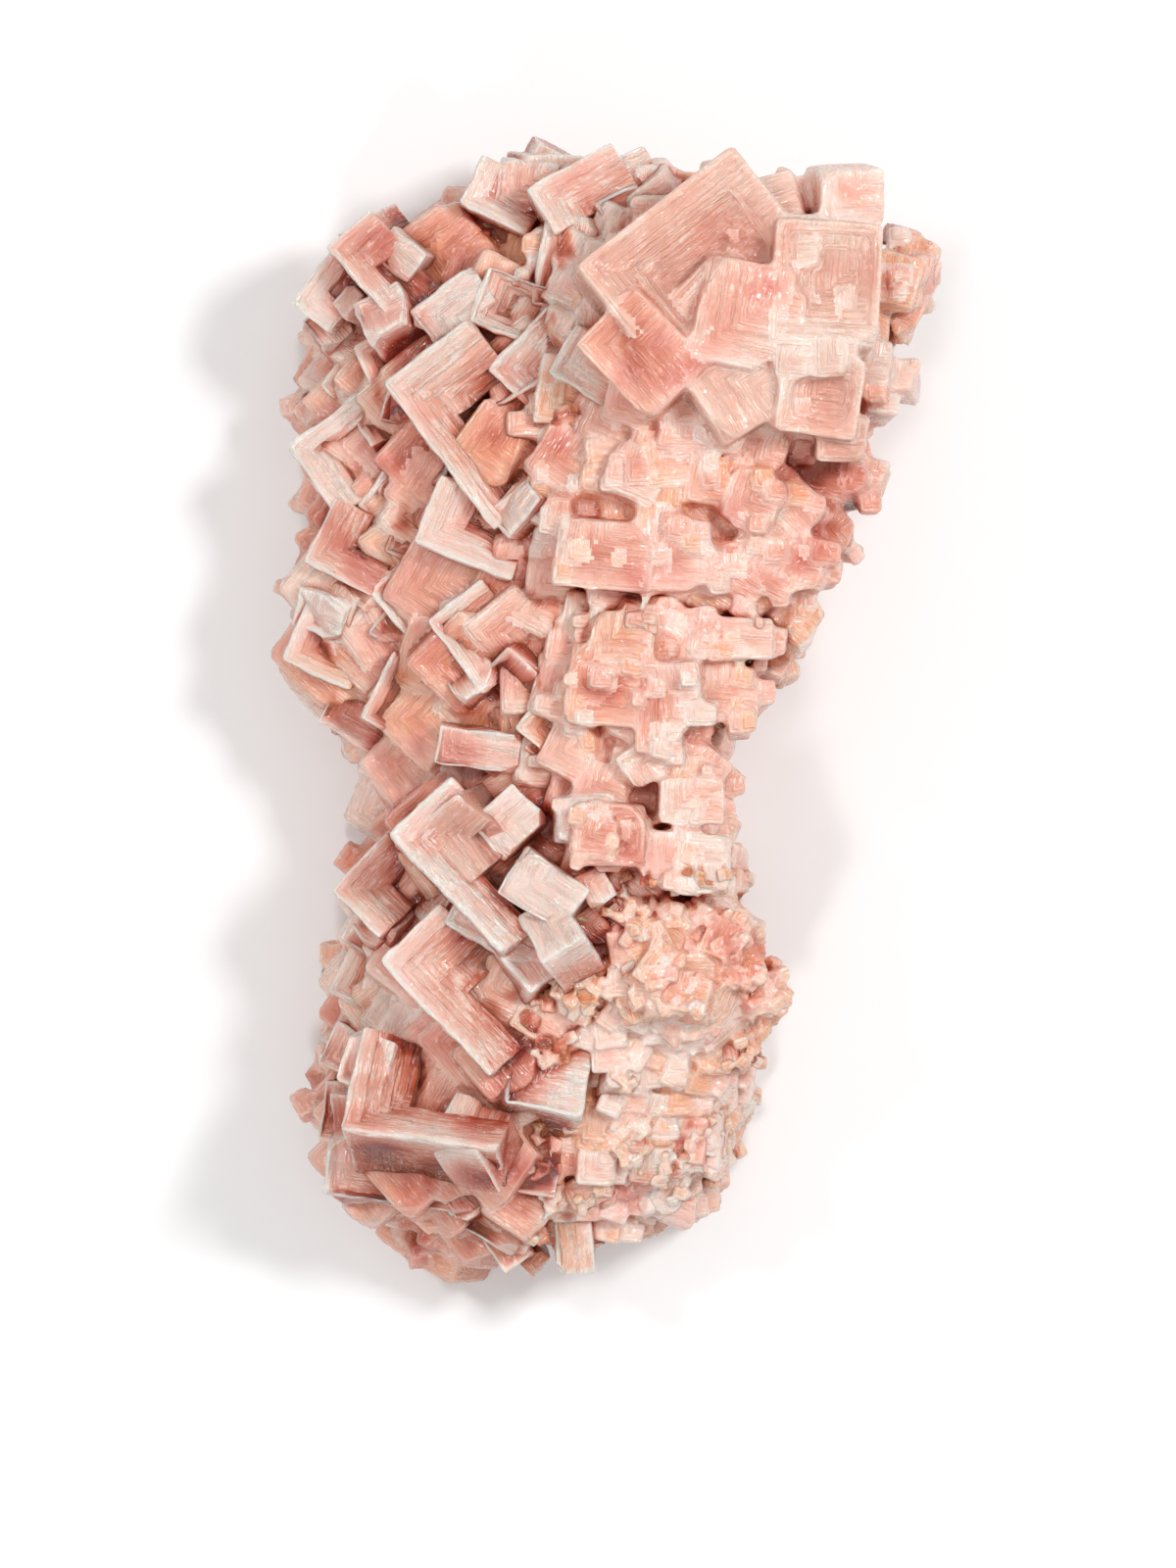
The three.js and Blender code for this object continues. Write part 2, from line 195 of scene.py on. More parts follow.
LOWER_FANS = [
    chevron((-36.2, -20, 47), (15, 28, 16), 44, (-5, 10), 3, finish=FROSTED),
    block((-22.7, -17.5, 46), (10, 9, 10), 42, (-5, 10), finish=PALE),
    block((-18, -29.5, 50), (9, 13, 8), 58, (-4, 0), finish=PALE),
    block((-5, -27, 50), (5, 6, 8), 30),
    chevron((-46.5, -29.5, 33), (14, 12, 18), 48, (-15, 10)),
    block((-45, -38, 30), (10, 12, 14), 60, (-10, 0)),
    chevron((-37.6, -41, 46), (14, 27, 18), 44, (-6, 4), 3),
    block((-27, -35, 46), (7, 19, 14), 62, finish=FROSTED),
    chevron((-47.5, -47, 27), (9, 10, 15), 62, (-10, 0), 1),
    chevron((-44.2, -69, 47), (19, 27, 20), 82, (-6, 26), 4),
    block((-49, -59, 27), (8, 9, 14), 62, (-10, 0)),
    block((-49, -72, 27), (10, 10, 14), 82, (-10, 0)),
    block((-48, -81.5, 29), (12, 24, 18), 82, (-6, -10), 1),
    block((-21, -80, 34), (9, 13, 11), 82, (0, -5), 1, finish=ROSY),
    block((-31, -78, 33), (8, 10, 10), 40, (0, -10), finish=ROSY),
    block((-36, -84, 26), (8, 14, 12), 70, (0, -10), finish=ROSY),
    block((-24, -87.5, 27), (7, 10, 14), 60, finish=ROSY),
    block((-21.5, -89, 22), (6, 8, 10), 35, finish=SUGARY),
    block((-9, -83, 27), (6.5, 13, 14), 5, (0, -12), finish=SUGARY),
]

UPPER_RIGHT = [
    block((-4.8, 73.5, 63), (33, 22, 20), 38, (3, 2), 2, finish=CLEAR),
    block((19.5, 87, 56), (12, 12, 16), 17, (0, 4), 1, finish=CLEAR),
    block((6.5, 92, 32), (11, 10, 16), 4, finish=WARM),
    block((13.5, 58.5, 63), (17.5, 15, 18), 78, (0, -2), 1),
    block((27, 61, 64), (20.5, 18, 24), 87, (3, 2), 2, finish=CLEAR),
    block((43, 70, 44), (9, 9, 18), 75, finish=SUGARY),
    block((47, 67.5, 34), (9, 6, 20), 62, finish=SUGARY),
    block((38, 54, 46), (10, 9.5, 20), 82, (4, 0), 1, finish=CLEAR),
    block((27.5, 46.5, 62), (13.5, 14, 18), 82, (3, -6), 2, finish=CLEAR),
    block((16, 49, 55), (10, 12, 12), 75, (0, 0), 1),
    block((-13.5, 37, 46), (10, 10, 14), 70, (0, 0), 1, finish=SUGARY),
    block((-15, 30, 42), (7, 7, 12), 60),
    block((2.5, 37, 48), (9.5, 6, 12), 80),
    block((7, 37, 50), (10, 10, 12), 50, (0, 0), 1),
    block((-9, 21.5, 54), (11.5, 16, 16), 84, (-4, -3), 1),
    block((6.5, 20.5, 54), (12, 11, 14), 88, (0, 0), 1),
    block((19, 33, 54), (9, 9, 10), 70, (0, 0), 1, finish=PALE),
    block((27, 22, 52), (9, 10, 12), 80, (4, 0), 1),
    block((17, 22, 52), (8, 9, 10), 60, finish=PALE),
    block((26, 35, 52), (8, 9, 10), 45, (4, 0), 1),
    block((33, 38, 44), (10, 9, 14), 75, (8, 0), 1),
    block((34, 31, 43), (7, 7, 14), 45, (10, 0)),
    block((27, 17, 45), (8, 8, 14), 45, (10, 0), finish=SUGARY),
]

WAIST_RIGHT = [
    block((2.5, 14, 52), (6, 7, 9), 70),
    block((8, 10.5, 51), (6, 6, 9), 85),
    block((14, 9.5, 53), (7, 14, 12), 88, (3, 0), 1),
    block((-6.5, -1.5, 52), (13.5, 12, 14), 86, (-3, -3), 1, finish=WARM),
    block((-5, 12.5, 49), (5, 9, 12), 84),
    block((5, -6.5, 53), (15.5, 8, 14), 89, (0, 0), 1),
    block((12.8, -1, 51), (9.5, 13, 14), 88, (6, 0), 1),
    block((1.5, -7.5, 51), (7, 7, 10), 35, (0, -15), finish=PALE),
    block((9, -18, 52), (7.5, 11, 12), 88, (4, 0), 1),
    block((10, -9, 50), (8, 9, 10), 50, (5, 0)),
    block((-5.3, -25, 54), (10.5, 12, 12), 88, (0, 0), 2),
    block((6, -28, 52), (9, 15, 12), 86, (4, 0), 1, finish=PALE),
    block((-16.5, -52, 42), (8, 10, 12), 60, finish=SUGARY),
    block((-9.5, -47, 45), (9, 8, 12), 70, finish=SUGARY),
]

# Salt that fills the hollows closed in under the crystals: lowest corner, highest corner
FILLED = [
    ((-39, -72, 21), (-29, -63, 28)),
    ((-24, -78, 27), (-19.5, -72.5, 32)),
    ((-32, 53.5, 27.5), (-29, 56, 29.5)),
    ((-27.5, 70.5, 25), (-25.5, 72, 31)),
    ((-36.5, 8.5, 26), (-34.5, 11, 29.5)),
    ((5.5, -8, 40), (8, -5.5, 42)),
    ((-12, 82, 25), (-9, 84, 28.5)),
]


def alone(thing: Thing) -> None:
    """Make one object the only one selected, and the active one."""
    bpy.ops.object.select_all(action="DESELECT")
    thing.select_set(True)
    bpy.context.view_layer.objects.active = thing


@contextmanager
def edit_mode() -> Iterator[None]:
    """Keep the active object in edit mode while a block runs."""
    bpy.ops.object.mode_set(mode="EDIT")
    yield
    bpy.ops.object.mode_set(mode="OBJECT")


def pick_faces(thing: Thing, wanted: Callable[[Vector], bool]) -> None:
    """Select, in edit mode, the faces whose normal passes a test.

    Args:
        thing: The object in edit mode.
        wanted: Takes a face's normal.
    """
    shape = bmesh.from_edit_mesh(thing.data)
    for face in shape.faces:
        face.select_set(False)
    for face in shape.faces:
        if wanted(face.normal):
            face.select_set(True)
    bmesh.update_edit_mesh(thing.data)


def apply_modifier(thing: Thing, kind: str, **settings: object) -> None:
    """Add a modifier with its settings and apply it.

    Args:
        thing: The object that takes the modifier.
        kind: Blender's name for the type of modifier.
        **settings: The modifier's own settings.
    """
    bpy.context.view_layer.objects.active = thing
    modifier = thing.modifiers.new(kind.lower(), kind)
    for name, value in settings.items():
        setattr(modifier, name, value)
    bpy.ops.object.modifier_apply(modifier=modifier.name)


def cube(low: Triple, high: Triple) -> Thing:
    """Add a box between two corners and leave it in object mode."""
    size = [high[i] - low[i] for i in range(3)]
    middle = [(high[i] + low[i]) / 2 for i in range(3)]
    bpy.ops.mesh.primitive_cube_add(size=1, location=middle, scale=size)
    thing = bpy.context.object
    alone(thing)
    bpy.ops.object.transform_apply(location=True, rotation=True, scale=True)
    return thing


def break_off(spot: Vector, toward: Vector) -> None:
    """Cut the mesh in edit mode flat at a spot, and drop what lies beyond it."""
    bpy.ops.mesh.select_all(action="SELECT")
    bpy.ops.mesh.bisect(plane_co=spot, plane_no=toward, use_fill=True, clear_outer=True)


def settle(thing: Thing, place: Matrix) -> None:
    """Carry an object by a matrix and leave its place in its mesh."""
    alone(thing)
    thing.matrix_world = place @ thing.matrix_world
    bpy.ops.object.transform_apply(location=True, rotation=True, scale=True)


def discard(thing: Thing) -> None:
    """Remove an object and its mesh."""
    mesh = thing.data
    bpy.data.objects.remove(thing)
    bpy.data.meshes.remove(mesh)


@dataclass
class Carver:
    """Cuts crystals from cubes, as by hand, with the ledges that a hopper cube grows."""

    stepped: float = 0.66  # of an arm, that the ledges of a chevron share out
    step_depth: float = 0.16  # of the shorter arm, from one main ledge to the next
    fine_ledges: int = 3  # fine ledges for each main one
    low_relief: float = 0.6  # of the full depth, where a chevron has only a step or two
    rim: float = 0.13  # of an arm, a pit's rim along the edges at the free corner
    far_rim: float = 0.08  # of an arm, a pit's rim along the edges that are grown in
    ledge_depth: float = 0.08  # of the shorter arm, from one rim to the next
    pit_depth: float = 0.3  # of the shorter arm, at the bottom of a pit
    funnel_ledges: int = 5
    arm_slope: Pair = (0.2, 0.42)  # how steeply a chevron's arms fall inward
    face_rim: Pair = (0.03, 0.1)  # of the shorter arm, the rim round a block's hollow face
    face_fall: Pair = (0.06, 0.2)  # of the shorter arm, how far a block's face falls to its point
    off_centre: float = 0.22  # of the shorter arm, how far that point lies from the middle at most
    panel_frame: Pair = (0.06, 0.12)  # of an arm, the frame of a side's sunk panel
    panel_depth: Pair = (0.08, 0.3)
    rounding: float = 0.06  # of the shortest arm, the width of the rounded edges
    chevron_rounding: float = 0.8  # the most of it on a chevron
    block_rounding: float = 0.6  # the most of it on a block
    chips: int = 2
    chip_size: Pair = (0.12, 0.26)  # of the shortest arm, how much of a corner is broken off
    draws: Draws = field(default_factory=lambda: Draws(31))

    def round_edges(self, arms: Triple, most: float) -> None:
        """Round all the edges of the box just added."""
        width = min(most, self.rounding * min(arms))
        with edit_mode():
            bpy.ops.mesh.select_all(action="SELECT")
            bpy.ops.mesh.bevel(offset=width, segments=2, affect="EDGES", clamp_overlap=True)

    def reshape(self, thing: Thing, low: Pair, high: Pair, down: float, wall: float) -> None:
        """Inset the selected face to a rectangle in its plane, then sink it behind a steep wall.

        Args:
            thing: The object in edit mode, with one flat face along x and y selected.
            low: The rectangle's lowest corner.
            high: The rectangle's highest corner.
            down: How far the face sinks along z.
            wall: How far the wall leans in.
        """
        for step in range(2):
            shape = bmesh.from_edit_mesh(thing.data)
            spots = [vert.co for face in shape.faces if face.select for vert in face.verts]
            left, right = min(p.x for p in spots), max(p.x for p in spots)
            near, far = min(p.y for p in spots), max(p.y for p in spots)
            lean = wall * step
            wide = max(0.02, high[0] - low[0] - 2 * lean) / (right - left)
            deep = max(0.02, high[1] - low[1] - 2 * lean) / (far - near)
            middle = ((left + right) / 2, (near + far) / 2, spots[0].z)
            move = ((low[0] + high[0]) / 2 - middle[0], (low[1] + high[1]) / 2 - middle[1], down * step)
            bpy.ops.mesh.extrude_region()
            bpy.ops.transform.resize(value=(wide, deep, 1), center_override=middle)
            bpy.ops.transform.translate(value=move)

    def pit(self, thing: Thing, arms: Triple, rims: int) -> None:
        """Sink a stepped funnel into the face at z 0, behind its rims."""
        shorter = min(arms[0], arms[1])
        with edit_mode():
            pick_faces(thing, lambda normal: normal.z < -FLAT)
            low, high, depth = (0, 0), (arms[0], arms[1]), 0.0
            for ledge in range(1, 2 * rims + 1):
                share = ledge / 2 * self.draws.between(0.8, 1.15)
                low = (self.rim * arms[0] * share, self.rim * arms[1] * share)
                high = (arms[0] * (1 - self.far_rim * share), arms[1] * (1 - self.far_rim * share))
                drop = self.ledge_depth * shorter * self.draws.between(0.15, 0.8)
                self.reshape(thing, low, high, drop, self.draws.between(0.05, 0.3))
                depth += drop
            middle = [low[i] + (high[i] - low[i]) * self.draws.between(0.4, 0.65) for i in range(2)]
            levels = self.funnel_ledges
            fall = (self.pit_depth * shorter - depth) / levels
            for ledge in range(1, levels + 1):
                keep = 1 - (ledge - self.draws.between(0.1, 0.7)) / (levels + 0.6)
                inner = [middle[i] - (middle[i] - low[i]) * keep for i in range(2)]
                outer = [middle[i] + (high[i] - middle[i]) * keep for i in range(2)]
                self.reshape(thing, inner, outer, fall * self.draws.between(0.5, 1.4), 0.25 * fall)

    def cut_steps(self, thing: Thing, arms: Triple, steps: int) -> None:
        """Cut a chevron's ledges with a stepped pyramid that stands on the crystal's grown-in corner."""
        drop = self.step_depth * min(arms[0], arms[1]) * (1 if steps > 2 else self.low_relief)
        fine = self.fine_ledges
        count = steps * fine
        brink = 1 + int(steps * fine * self.draws.between(0.45, 0.75)) if steps > 1 else 0
        places = [0.5 + (ledge + self.draws.between(-0.4, 0.4)) / fine for ledge in range(1, count + 1)]
        shares = [self.stepped * min(place, steps + 0.5) / (steps + 1) for place in places]
        falls = [drop / fine * self.draws.between(0.15, 0.6) for _ in places]
        if brink:
            falls[brink] += drop * steps - sum(falls)  # the one big drop
        inner = [[arms[i] * share for i in range(2)] for share in shares]
        outer = [[2 * arms[i] - near[i] for i in range(2)] for near in inner]
        cutter = cube((*inner[0], -1), (*outer[0], falls[0]))
        with edit_mode():
            pick_faces(cutter, lambda normal: normal.z > FLAT)
            for ledge in range(1, count):
                self.reshape(cutter, inner[ledge], outer[ledge], falls[ledge], self.draws.between(0.02, 0.3))
        alone(thing)
        apply_modifier(thing, "BOOLEAN", operation="DIFFERENCE", solver="MANIFOLD", object=cutter)
        discard(cutter)

    def slope_arms(self, thing: Thing, arms: Triple) -> None:
        """Slope both arms of a chevron down from its free edges, so that they meet at a mitre."""
        with edit_mode():
            bpy.ops.mesh.select_all(action="SELECT")
            bpy.ops.mesh.bisect(plane_co=(0, 0, 0), plane_no=(1, -1, 0))
        slope = self.draws.between(*self.arm_slope)
        for vert in thing.data.vertices:
            inward = max(0, min(vert.co.x, vert.co.y))
            vert.co.z += slope * inward * max(0, 1 - vert.co.z / arms[2])

    def hollow_face(self, thing: Thing, arms: Triple) -> None:
        """Let a block's face fall from a narrow rim towards a point, in four slopes."""
        shorter = min(arms[0], arms[1])
        with edit_mode():
            pick_faces(thing, lambda normal: normal.z < -FLAT)
            bpy.ops.mesh.inset(thickness=shorter * self.draws.between(*self.face_rim), depth=0)
            bpy.ops.mesh.poke()
            shape = bmesh.from_edit_mesh(thing.data)
            centre = max((vert for vert in shape.verts if vert.select), key=lambda vert: len(vert.link_edges))
            move = [shorter * self.draws.between(-self.off_centre, self.off_centre) for _ in range(2)]
            centre.co += Vector((*move, shorter * self.draws.between(*self.face_fall)))
            bmesh.update_edit_mesh(thing.data)

    def sink_sides(self, thing: Thing, arms: Triple) -> None:
        """Frame the two free sides with a shallow sunk panel, as growth leaves them."""
        with edit_mode():
            for axis in range(2):
                pick_faces(thing, lambda normal: normal[axis] < -FLAT)
                bpy.ops.mesh.inset(thickness=arms[1 - axis] * self.draws.between(*self.panel_frame), depth=0)
                bpy.ops.mesh.inset(thickness=0.1, depth=-self.draws.between(*self.panel_depth))

    def chip(self, arms: Triple) -> None:
        """Break one grown-in corner of the active crystal's face off flat."""
        which = self.draws.whole(3)
        corner = [(arms[0], 0, 0), (0, arms[1], 0), (arms[0], arms[1], 0)][which]
        outward = Vector([1 if corner[0] else -1, 1 if corner[1] else -1, -1])
        tilt = Vector([self.draws.between(-0.6, 0.6) for _ in range(3)])
        toward = (outward + tilt).normalized()
        back = min(arms) * self.draws.between(*self.chip_size)
        with edit_mode():
            break_off(Vector(corner) - toward * back, toward)

    def carve(self, crystal: Crystal) -> Thing:
        """Make one crystal in place.

        Args:
            crystal: Its place, size and finish.

        Returns:
            Its object, at the origin with its place in its mesh.
        """
        arms = crystal.arms
        thing = cube((0, 0, 0), arms)
        if crystal.steps:
            self.round_edges(arms, self.chevron_rounding)
            self.cut_steps(thing, arms, crystal.steps)
            self.slope_arms(thing, arms)
        else:
            self.round_edges(arms, self.block_rounding)
            self.sink_sides(thing, arms)
            if crystal.rims > 1:
                self.pit(thing, arms, crystal.rims)
            else:
                self.hollow_face(thing, arms)
            for _ in range(self.chips):
                self.chip(arms)
        settle(thing, crystal.place())
        note_growth(thing, crystal)
        return thing


def note_growth(thing: Thing, crystal: Crystal) -> None:
    """Note on every face where the crystal grew from, along which arms, how long they are, and its finish."""
    place = crystal.place()
    turn = place.to_3x3() * (1 / MM)
    along, across = turn @ Vector((1, 0, 0)), turn @ Vector((0, 1, 0))
    arms = NO_FAR_RIM if crystal.steps else crystal.arms
    for name, value in zip(NOTES, (place.translation, along, across, arms, crystal.finish.value)):
        layer = thing.data.attributes.new(name, "FLOAT_VECTOR", "FACE")
        layer.data.foreach_set("vector", list(value) * len(thing.data.polygons))


def fuse(things: list[Thing]) -> Thing:
    """Join a few closed solids into the first of them, which is returned."""
    first, others = things[0], things[1:]
    if others:
        group = bpy.data.collections.new("fused")
        bpy.context.scene.collection.children.link(group)
        for thing in others:
            group.objects.link(thing)
        alone(first)
        settings = {"operation": "UNION", "solver": "MANIFOLD", "operand_type": "COLLECTION"}
        apply_modifier(first, "BOOLEAN", **settings, collection=group)
        for thing in others:
            discard(thing)
        bpy.data.collections.remove(group)
    return first


def unite(things: list[Thing], name: str) -> Thing:
    """Join closed solids into one closed mesh, a batch at a time.

    Args:
        things: The solids, which are used up.
        name: The piece's name.

    Returns:
        The object that holds them all.
    """
    batch = 12
    while len(things) > 1:
        things = [fuse(things[start : start + batch]) for start in range(0, len(things), batch)]
    things[0].name = name
    things[0].data.name = name
    return things[0]


def cut_flat(thing: Thing) -> None:
    """Break the salt off flat at the resting face."""
    low, high = (-0.3, -0.3, -0.3), (0.3, 0.3, 0)
    under = cube(low, high)
    alone(thing)
    apply_modifier(thing, "BOOLEAN", operation="DIFFERENCE", solver="MANIFOLD", object=under)
    discard(under)


def refine(thing: Thing, longest: float, wave: float) -> None:
    """Split long edges, so that what is noted on the corners follows the surface, and ruffle it a little.

    Args:
        thing: A closed mesh.
        longest: The longest edge to keep, in metres.
        wave: How far the surface may be moved, in metres.
    """
    alone(thing)
    with edit_mode():
        bpy.ops.mesh.select_mode(type="EDGE")
        for _ in range(4):
            bpy.ops.mesh.select_all(action="SELECT")
            bpy.ops.mesh.quads_convert_to_tris()
            bpy.ops.mesh.select_all(action="DESELECT")
            shape = bmesh.from_edit_mesh(thing.data)
            for edge in shape.edges:
                if edge.calc_length() > longest:
                    edge.select_set(True)
            bmesh.update_edit_mesh(thing.data)
            bpy.ops.mesh.subdivide(number_cuts=1)
        bpy.ops.mesh.select_all(action="SELECT")
        bpy.ops.mesh.quads_convert_to_tris()
        bpy.ops.mesh.select_mode(type="FACE")
    for vert in thing.data.vertices:
        if vert.co.z > 2 * wave:
            spot = vert.co / MM
            broad, narrow = noise.noise_vector(spot * 0.12), noise.noise_vector(spot * 0.35)
            vert.co += (broad + narrow * 0.6 + noise.noise_vector(spot * 0.9) * 0.3) * wave


def join(things: list[Thing], name: str) -> Thing:
    """Join objects into one, closed shell by closed shell, and settle it at the origin."""
    bpy.ops.object.select_all(action="DESELECT")
    for thing in things:
        thing.select_set(True)
    piece = things[0]
    bpy.context.view_layer.objects.active = piece
    if len(things) > 1:
        bpy.ops.object.join()
    bpy.ops.object.transform_apply(location=True, rotation=True, scale=True)
    piece.name = name
    piece.data.name = name
    return piece


def melt(things: list[Thing], name: str, voxel: float, rounds: int) -> Thing:
    """Grow shells together into one soft-edged skin that keeps their notes.

    Args:
        things: The shells, which are used up.
        name: The piece's name.
        voxel: How fine the skin is, in metres.
        rounds: How many times the skin is smoothed.

    Returns:
        The piece.
    """
    piece = join(things, name)
    tree = search_tree([piece])
    count = len(piece.data.polygons)
    notes = {}
    for note in NOTES:
        values = np.empty(count * 3, dtype=np.float32)
        piece.data.attributes[note].data.foreach_get("vector", values)
        notes[note] = values.reshape(count, 3)
    piece.data.remesh_voxel_size = voxel
    piece.data.use_remesh_preserve_attributes = False
    bpy.ops.object.voxel_remesh()
    with edit_mode():
        bpy.ops.mesh.select_all(action="SELECT")
        bpy.ops.mesh.vertices_smooth(factor=0.5, repeat=rounds)
    nearest = np.array([tree.find_nearest(face.center)[2] for face in piece.data.polygons])
    for note, values in notes.items():
        kept = piece.data.attributes.get(note)
        layer = kept or piece.data.attributes.new(note, "FLOAT_VECTOR", "FACE")
        layer.data.foreach_set("vector", values[nearest].ravel())
    return piece


def hemisphere(count: int) -> list[Vector]:
    """Even directions over the upper half of a ball, closer together towards its top."""
    golden = math.pi * (3 - math.sqrt(5))
    found = []
    for number in range(count):
        flat = math.sqrt((number + 0.5) / count)
        turn = golden * number
        found.append(Vector((flat * math.cos(turn), flat * math.sin(turn), math.sqrt(1 - flat * flat))))
    return found


def search_tree(pieces: list[Thing]) -> BVHTree:
    """A tree that finds the nearest face, or the face that a ray meets, on several pieces."""
    spots, faces = [], []
    for piece in pieces:
        start = len(spots)
        spots += [vert.co.copy() for vert in piece.data.vertices]
        faces += [[start + index for index in face.vertices] for face in piece.data.polygons]
    return BVHTree.FromPolygons(spots, faces)


def note_openness(
    pieces: list[Thing], reach: float = 16 * MM, rays: int = 11, cell: float = 1.3 * MM
) -> None:
    """Note on every corner how much open air it sees within a reach, from 0 to 1.

    Corners that lie in one small cell and face alike share one look round.

    Args:
        pieces: All the pieces, which shade each other.
        reach: How far away a wall still shades, in metres.
        rays: How many ways each corner looks.
        cell: The cell's size, in metres.
    """
    tree = search_tree(pieces)
    ways = hemisphere(rays)
    known: dict[tuple, float] = {}
    for piece in pieces:
        mesh = piece.data
        values = np.empty(len(mesh.vertices))
        for vert in mesh.vertices:
            normal = vert.normal
            key = (*(int(side // cell) for side in vert.co), *(round(side) for side in normal))
            if key not in known:
                turn = Vector((0, 0, 1)).rotation_difference(normal)
                start = vert.co + normal * LIFT
                seen = 0.0
                for way in ways:
                    distance = tree.ray_cast(start, turn @ way, reach)[3]
                    seen += 1 if distance is None else (distance / reach) ** 0.5 * 0.8
                known[key] = seen / rays
            values[vert.index] = known[key]
        layer = mesh.attributes.new("open", "FLOAT", "POINT")
        layer.data.foreach_set("value", evened(mesh, values, 2))


def evened(mesh: bpy.types.Mesh, values: np.ndarray, rounds: int) -> np.ndarray:
    """Values on a mesh's corners, evened out with their neighbours a few times."""
    ends = np.empty(2 * len(mesh.edges), dtype=np.int64)
    mesh.edges.foreach_get("vertices", ends)
    first, last = ends.reshape(-1, 2).T
    count = len(values)
    degree = 1 + np.bincount(ends, minlength=count)
    for _ in range(rounds):
        shared = np.bincount(first, values[last], count) + np.bincount(last, values[first], count)
        values = (values + shared) / degree
    return values


def smooth(thing: Thing, soft: bool) -> None:
    """Shade a soft skin smooth all over, or a crisp one on its rounded edges alone."""
    alone(thing)
    if soft:
        bpy.ops.object.shade_smooth()
        return
    bpy.ops.object.shade_smooth_by_angle(angle=math.radians(32))
    apply_modifier(thing, "WEIGHTED_NORMAL", keep_sharp=True, weight=80)


@dataclass
class Crust:
    """The crust that the crystals stand on."""

    depth: float = 60  # below this the sections close, well under the flat break
    shoulder: float = 0.55  # how square the sections are: 1 is round
    valley: Pair = (0.15, 0.7)  # across a section, where the rise to the right shoulder starts and ends
    lump: float = 2.6  # the size of the crust's lumps
    rough: float = 1.5  # how far a lump stands out
    # Each section: y, left edge, right edge, height of the left shoulder, height of the right shoulder
    sections: tuple[tuple[float, ...], ...] = (
        (92, 4, 6, 20, 22),
        (88, -12, 16, 26, 36),
        (78, -32, 38, 28, 50),
        (66, -44, 46, 30, 54),
        (52, -44, 42, 31, 54),
        (38, -45, 36, 31, 50),
        (22, -46, 32, 31, 48),
        (6, -46, 26, 30, 46),
        (-6, -36, 17, 30, 44),
        (-18, -31, 17, 30, 44),
        (-32, -38, 21, 32, 44),
        (-48, -41, 25, 32, 42),
        (-62, -41, 24, 31, 36),
        (-76, -43, 20, 28, 31),
        (-85, -36, 17, 21, 24),
        (-90, -12, -4, 16, 18),
    )

    def point(self, y: float, angle: float) -> Vector:
        """The skin's point at a place along the crust and an angle round its section, in millimetres."""
        passed = [number for number, section in enumerate(self.sections) if section[0] <= y]
        after = max(1, passed[0] if passed else len(self.sections) - 1)
        before, following = self.sections[after - 1], self.sections[after]
        share = (before[0] - y) / (before[0] - following[0])
        between = [near + (far - near) * share for near, far in zip(before, following)]
        left, right, left_top, right_top = between[1:]
        across = (1 + self.squared(math.cos(angle))) / 2
        rise = min(1, max(0, (across - self.valley[0]) / (self.valley[1] - self.valley[0])))
        top = left_top + (right_top - left_top) * rise * rise * (3 - 2 * rise)
        up = math.sin(angle)
        height = top * self.squared(up) if up > 0 else self.depth * up
        return Vector((left + (right - left) * across, y, height))

    def squared(self, value: float) -> float:
        """A sine or cosine drawn out towards the section's corners."""
        return math.copysign(abs(value) ** self.shoulder, value)

    def build(self) -> Thing:
        """Draw a ball's rings out to the sections, roughened, and return it in metres."""
        rings, columns = 64, 84
        bpy.ops.mesh.primitive_uv_sphere_add(segments=columns, ring_count=rings, radius=1)
        ball = bpy.context.object
        top, bottom = self.sections[0][0], self.sections[-1][0]
        for vert in ball.data.vertices:
            way = vert.co.normalized()
            lie = math.acos(max(-1, min(1, way.z))) / math.pi
            y = top + (bottom - top) * lie
            if min(lie, 1 - lie) < 0.001:
                section = self.sections[0 if lie < 0.5 else -1]
                spot = Vector(((section[1] + section[2]) / 2, y, section[3] / 2))
            else:
                spot = self.point(y, math.atan2(way.y, way.x))
            cell = noise.cell_vector(spot / self.lump)
            spot += (cell - Vector((0.5, 0.5, 0.5))) * self.rough
            vert.co = spot * MM
        alone(ball)
        with edit_mode():
            bpy.ops.mesh.select_all(action="SELECT")
            bpy.ops.mesh.normals_make_consistent(inside=False)
        note_growth(ball, Crystal((0, 0, 0), (1, 1, 1), 0, finish=ROSY))
        return ball


@dataclass(frozen=True)
class Mound:
    """A rounded heap of crystals in the sugary mass, in millimetres."""

    centre: Triple
    half: Triple  # half its length along each axis
    count: int  # of its crystals
    sizes: Pair  # of its crystals, least and most
    seed: int

    def ball(self) -> Thing:
        """Its rounded body."""
        bpy.ops.mesh.primitive_ico_sphere_add(subdivisions=4, radius=1, location=self.centre, scale=self.half)
        ball = bpy.context.object
        alone(ball)
        bpy.ops.object.transform_apply(location=True, rotation=True, scale=True)
        settle(ball, Matrix.Scale(MM, 4))
        note_growth(ball, Crystal(self.centre, (1, 1, 1), 0, finish=SUGARY))
        return ball


@dataclass(frozen=True)
class Company:
    """The smaller crystals that grow into each crystal of a group."""

    count: int
    shares: Pair  # of the bearer's shorter arm, their size, least and most
    sunk: Pair  # how far below the bearer's face they start, in millimetres, least and most
    tumble: float  # how far they may be turned from the bearer, in degrees


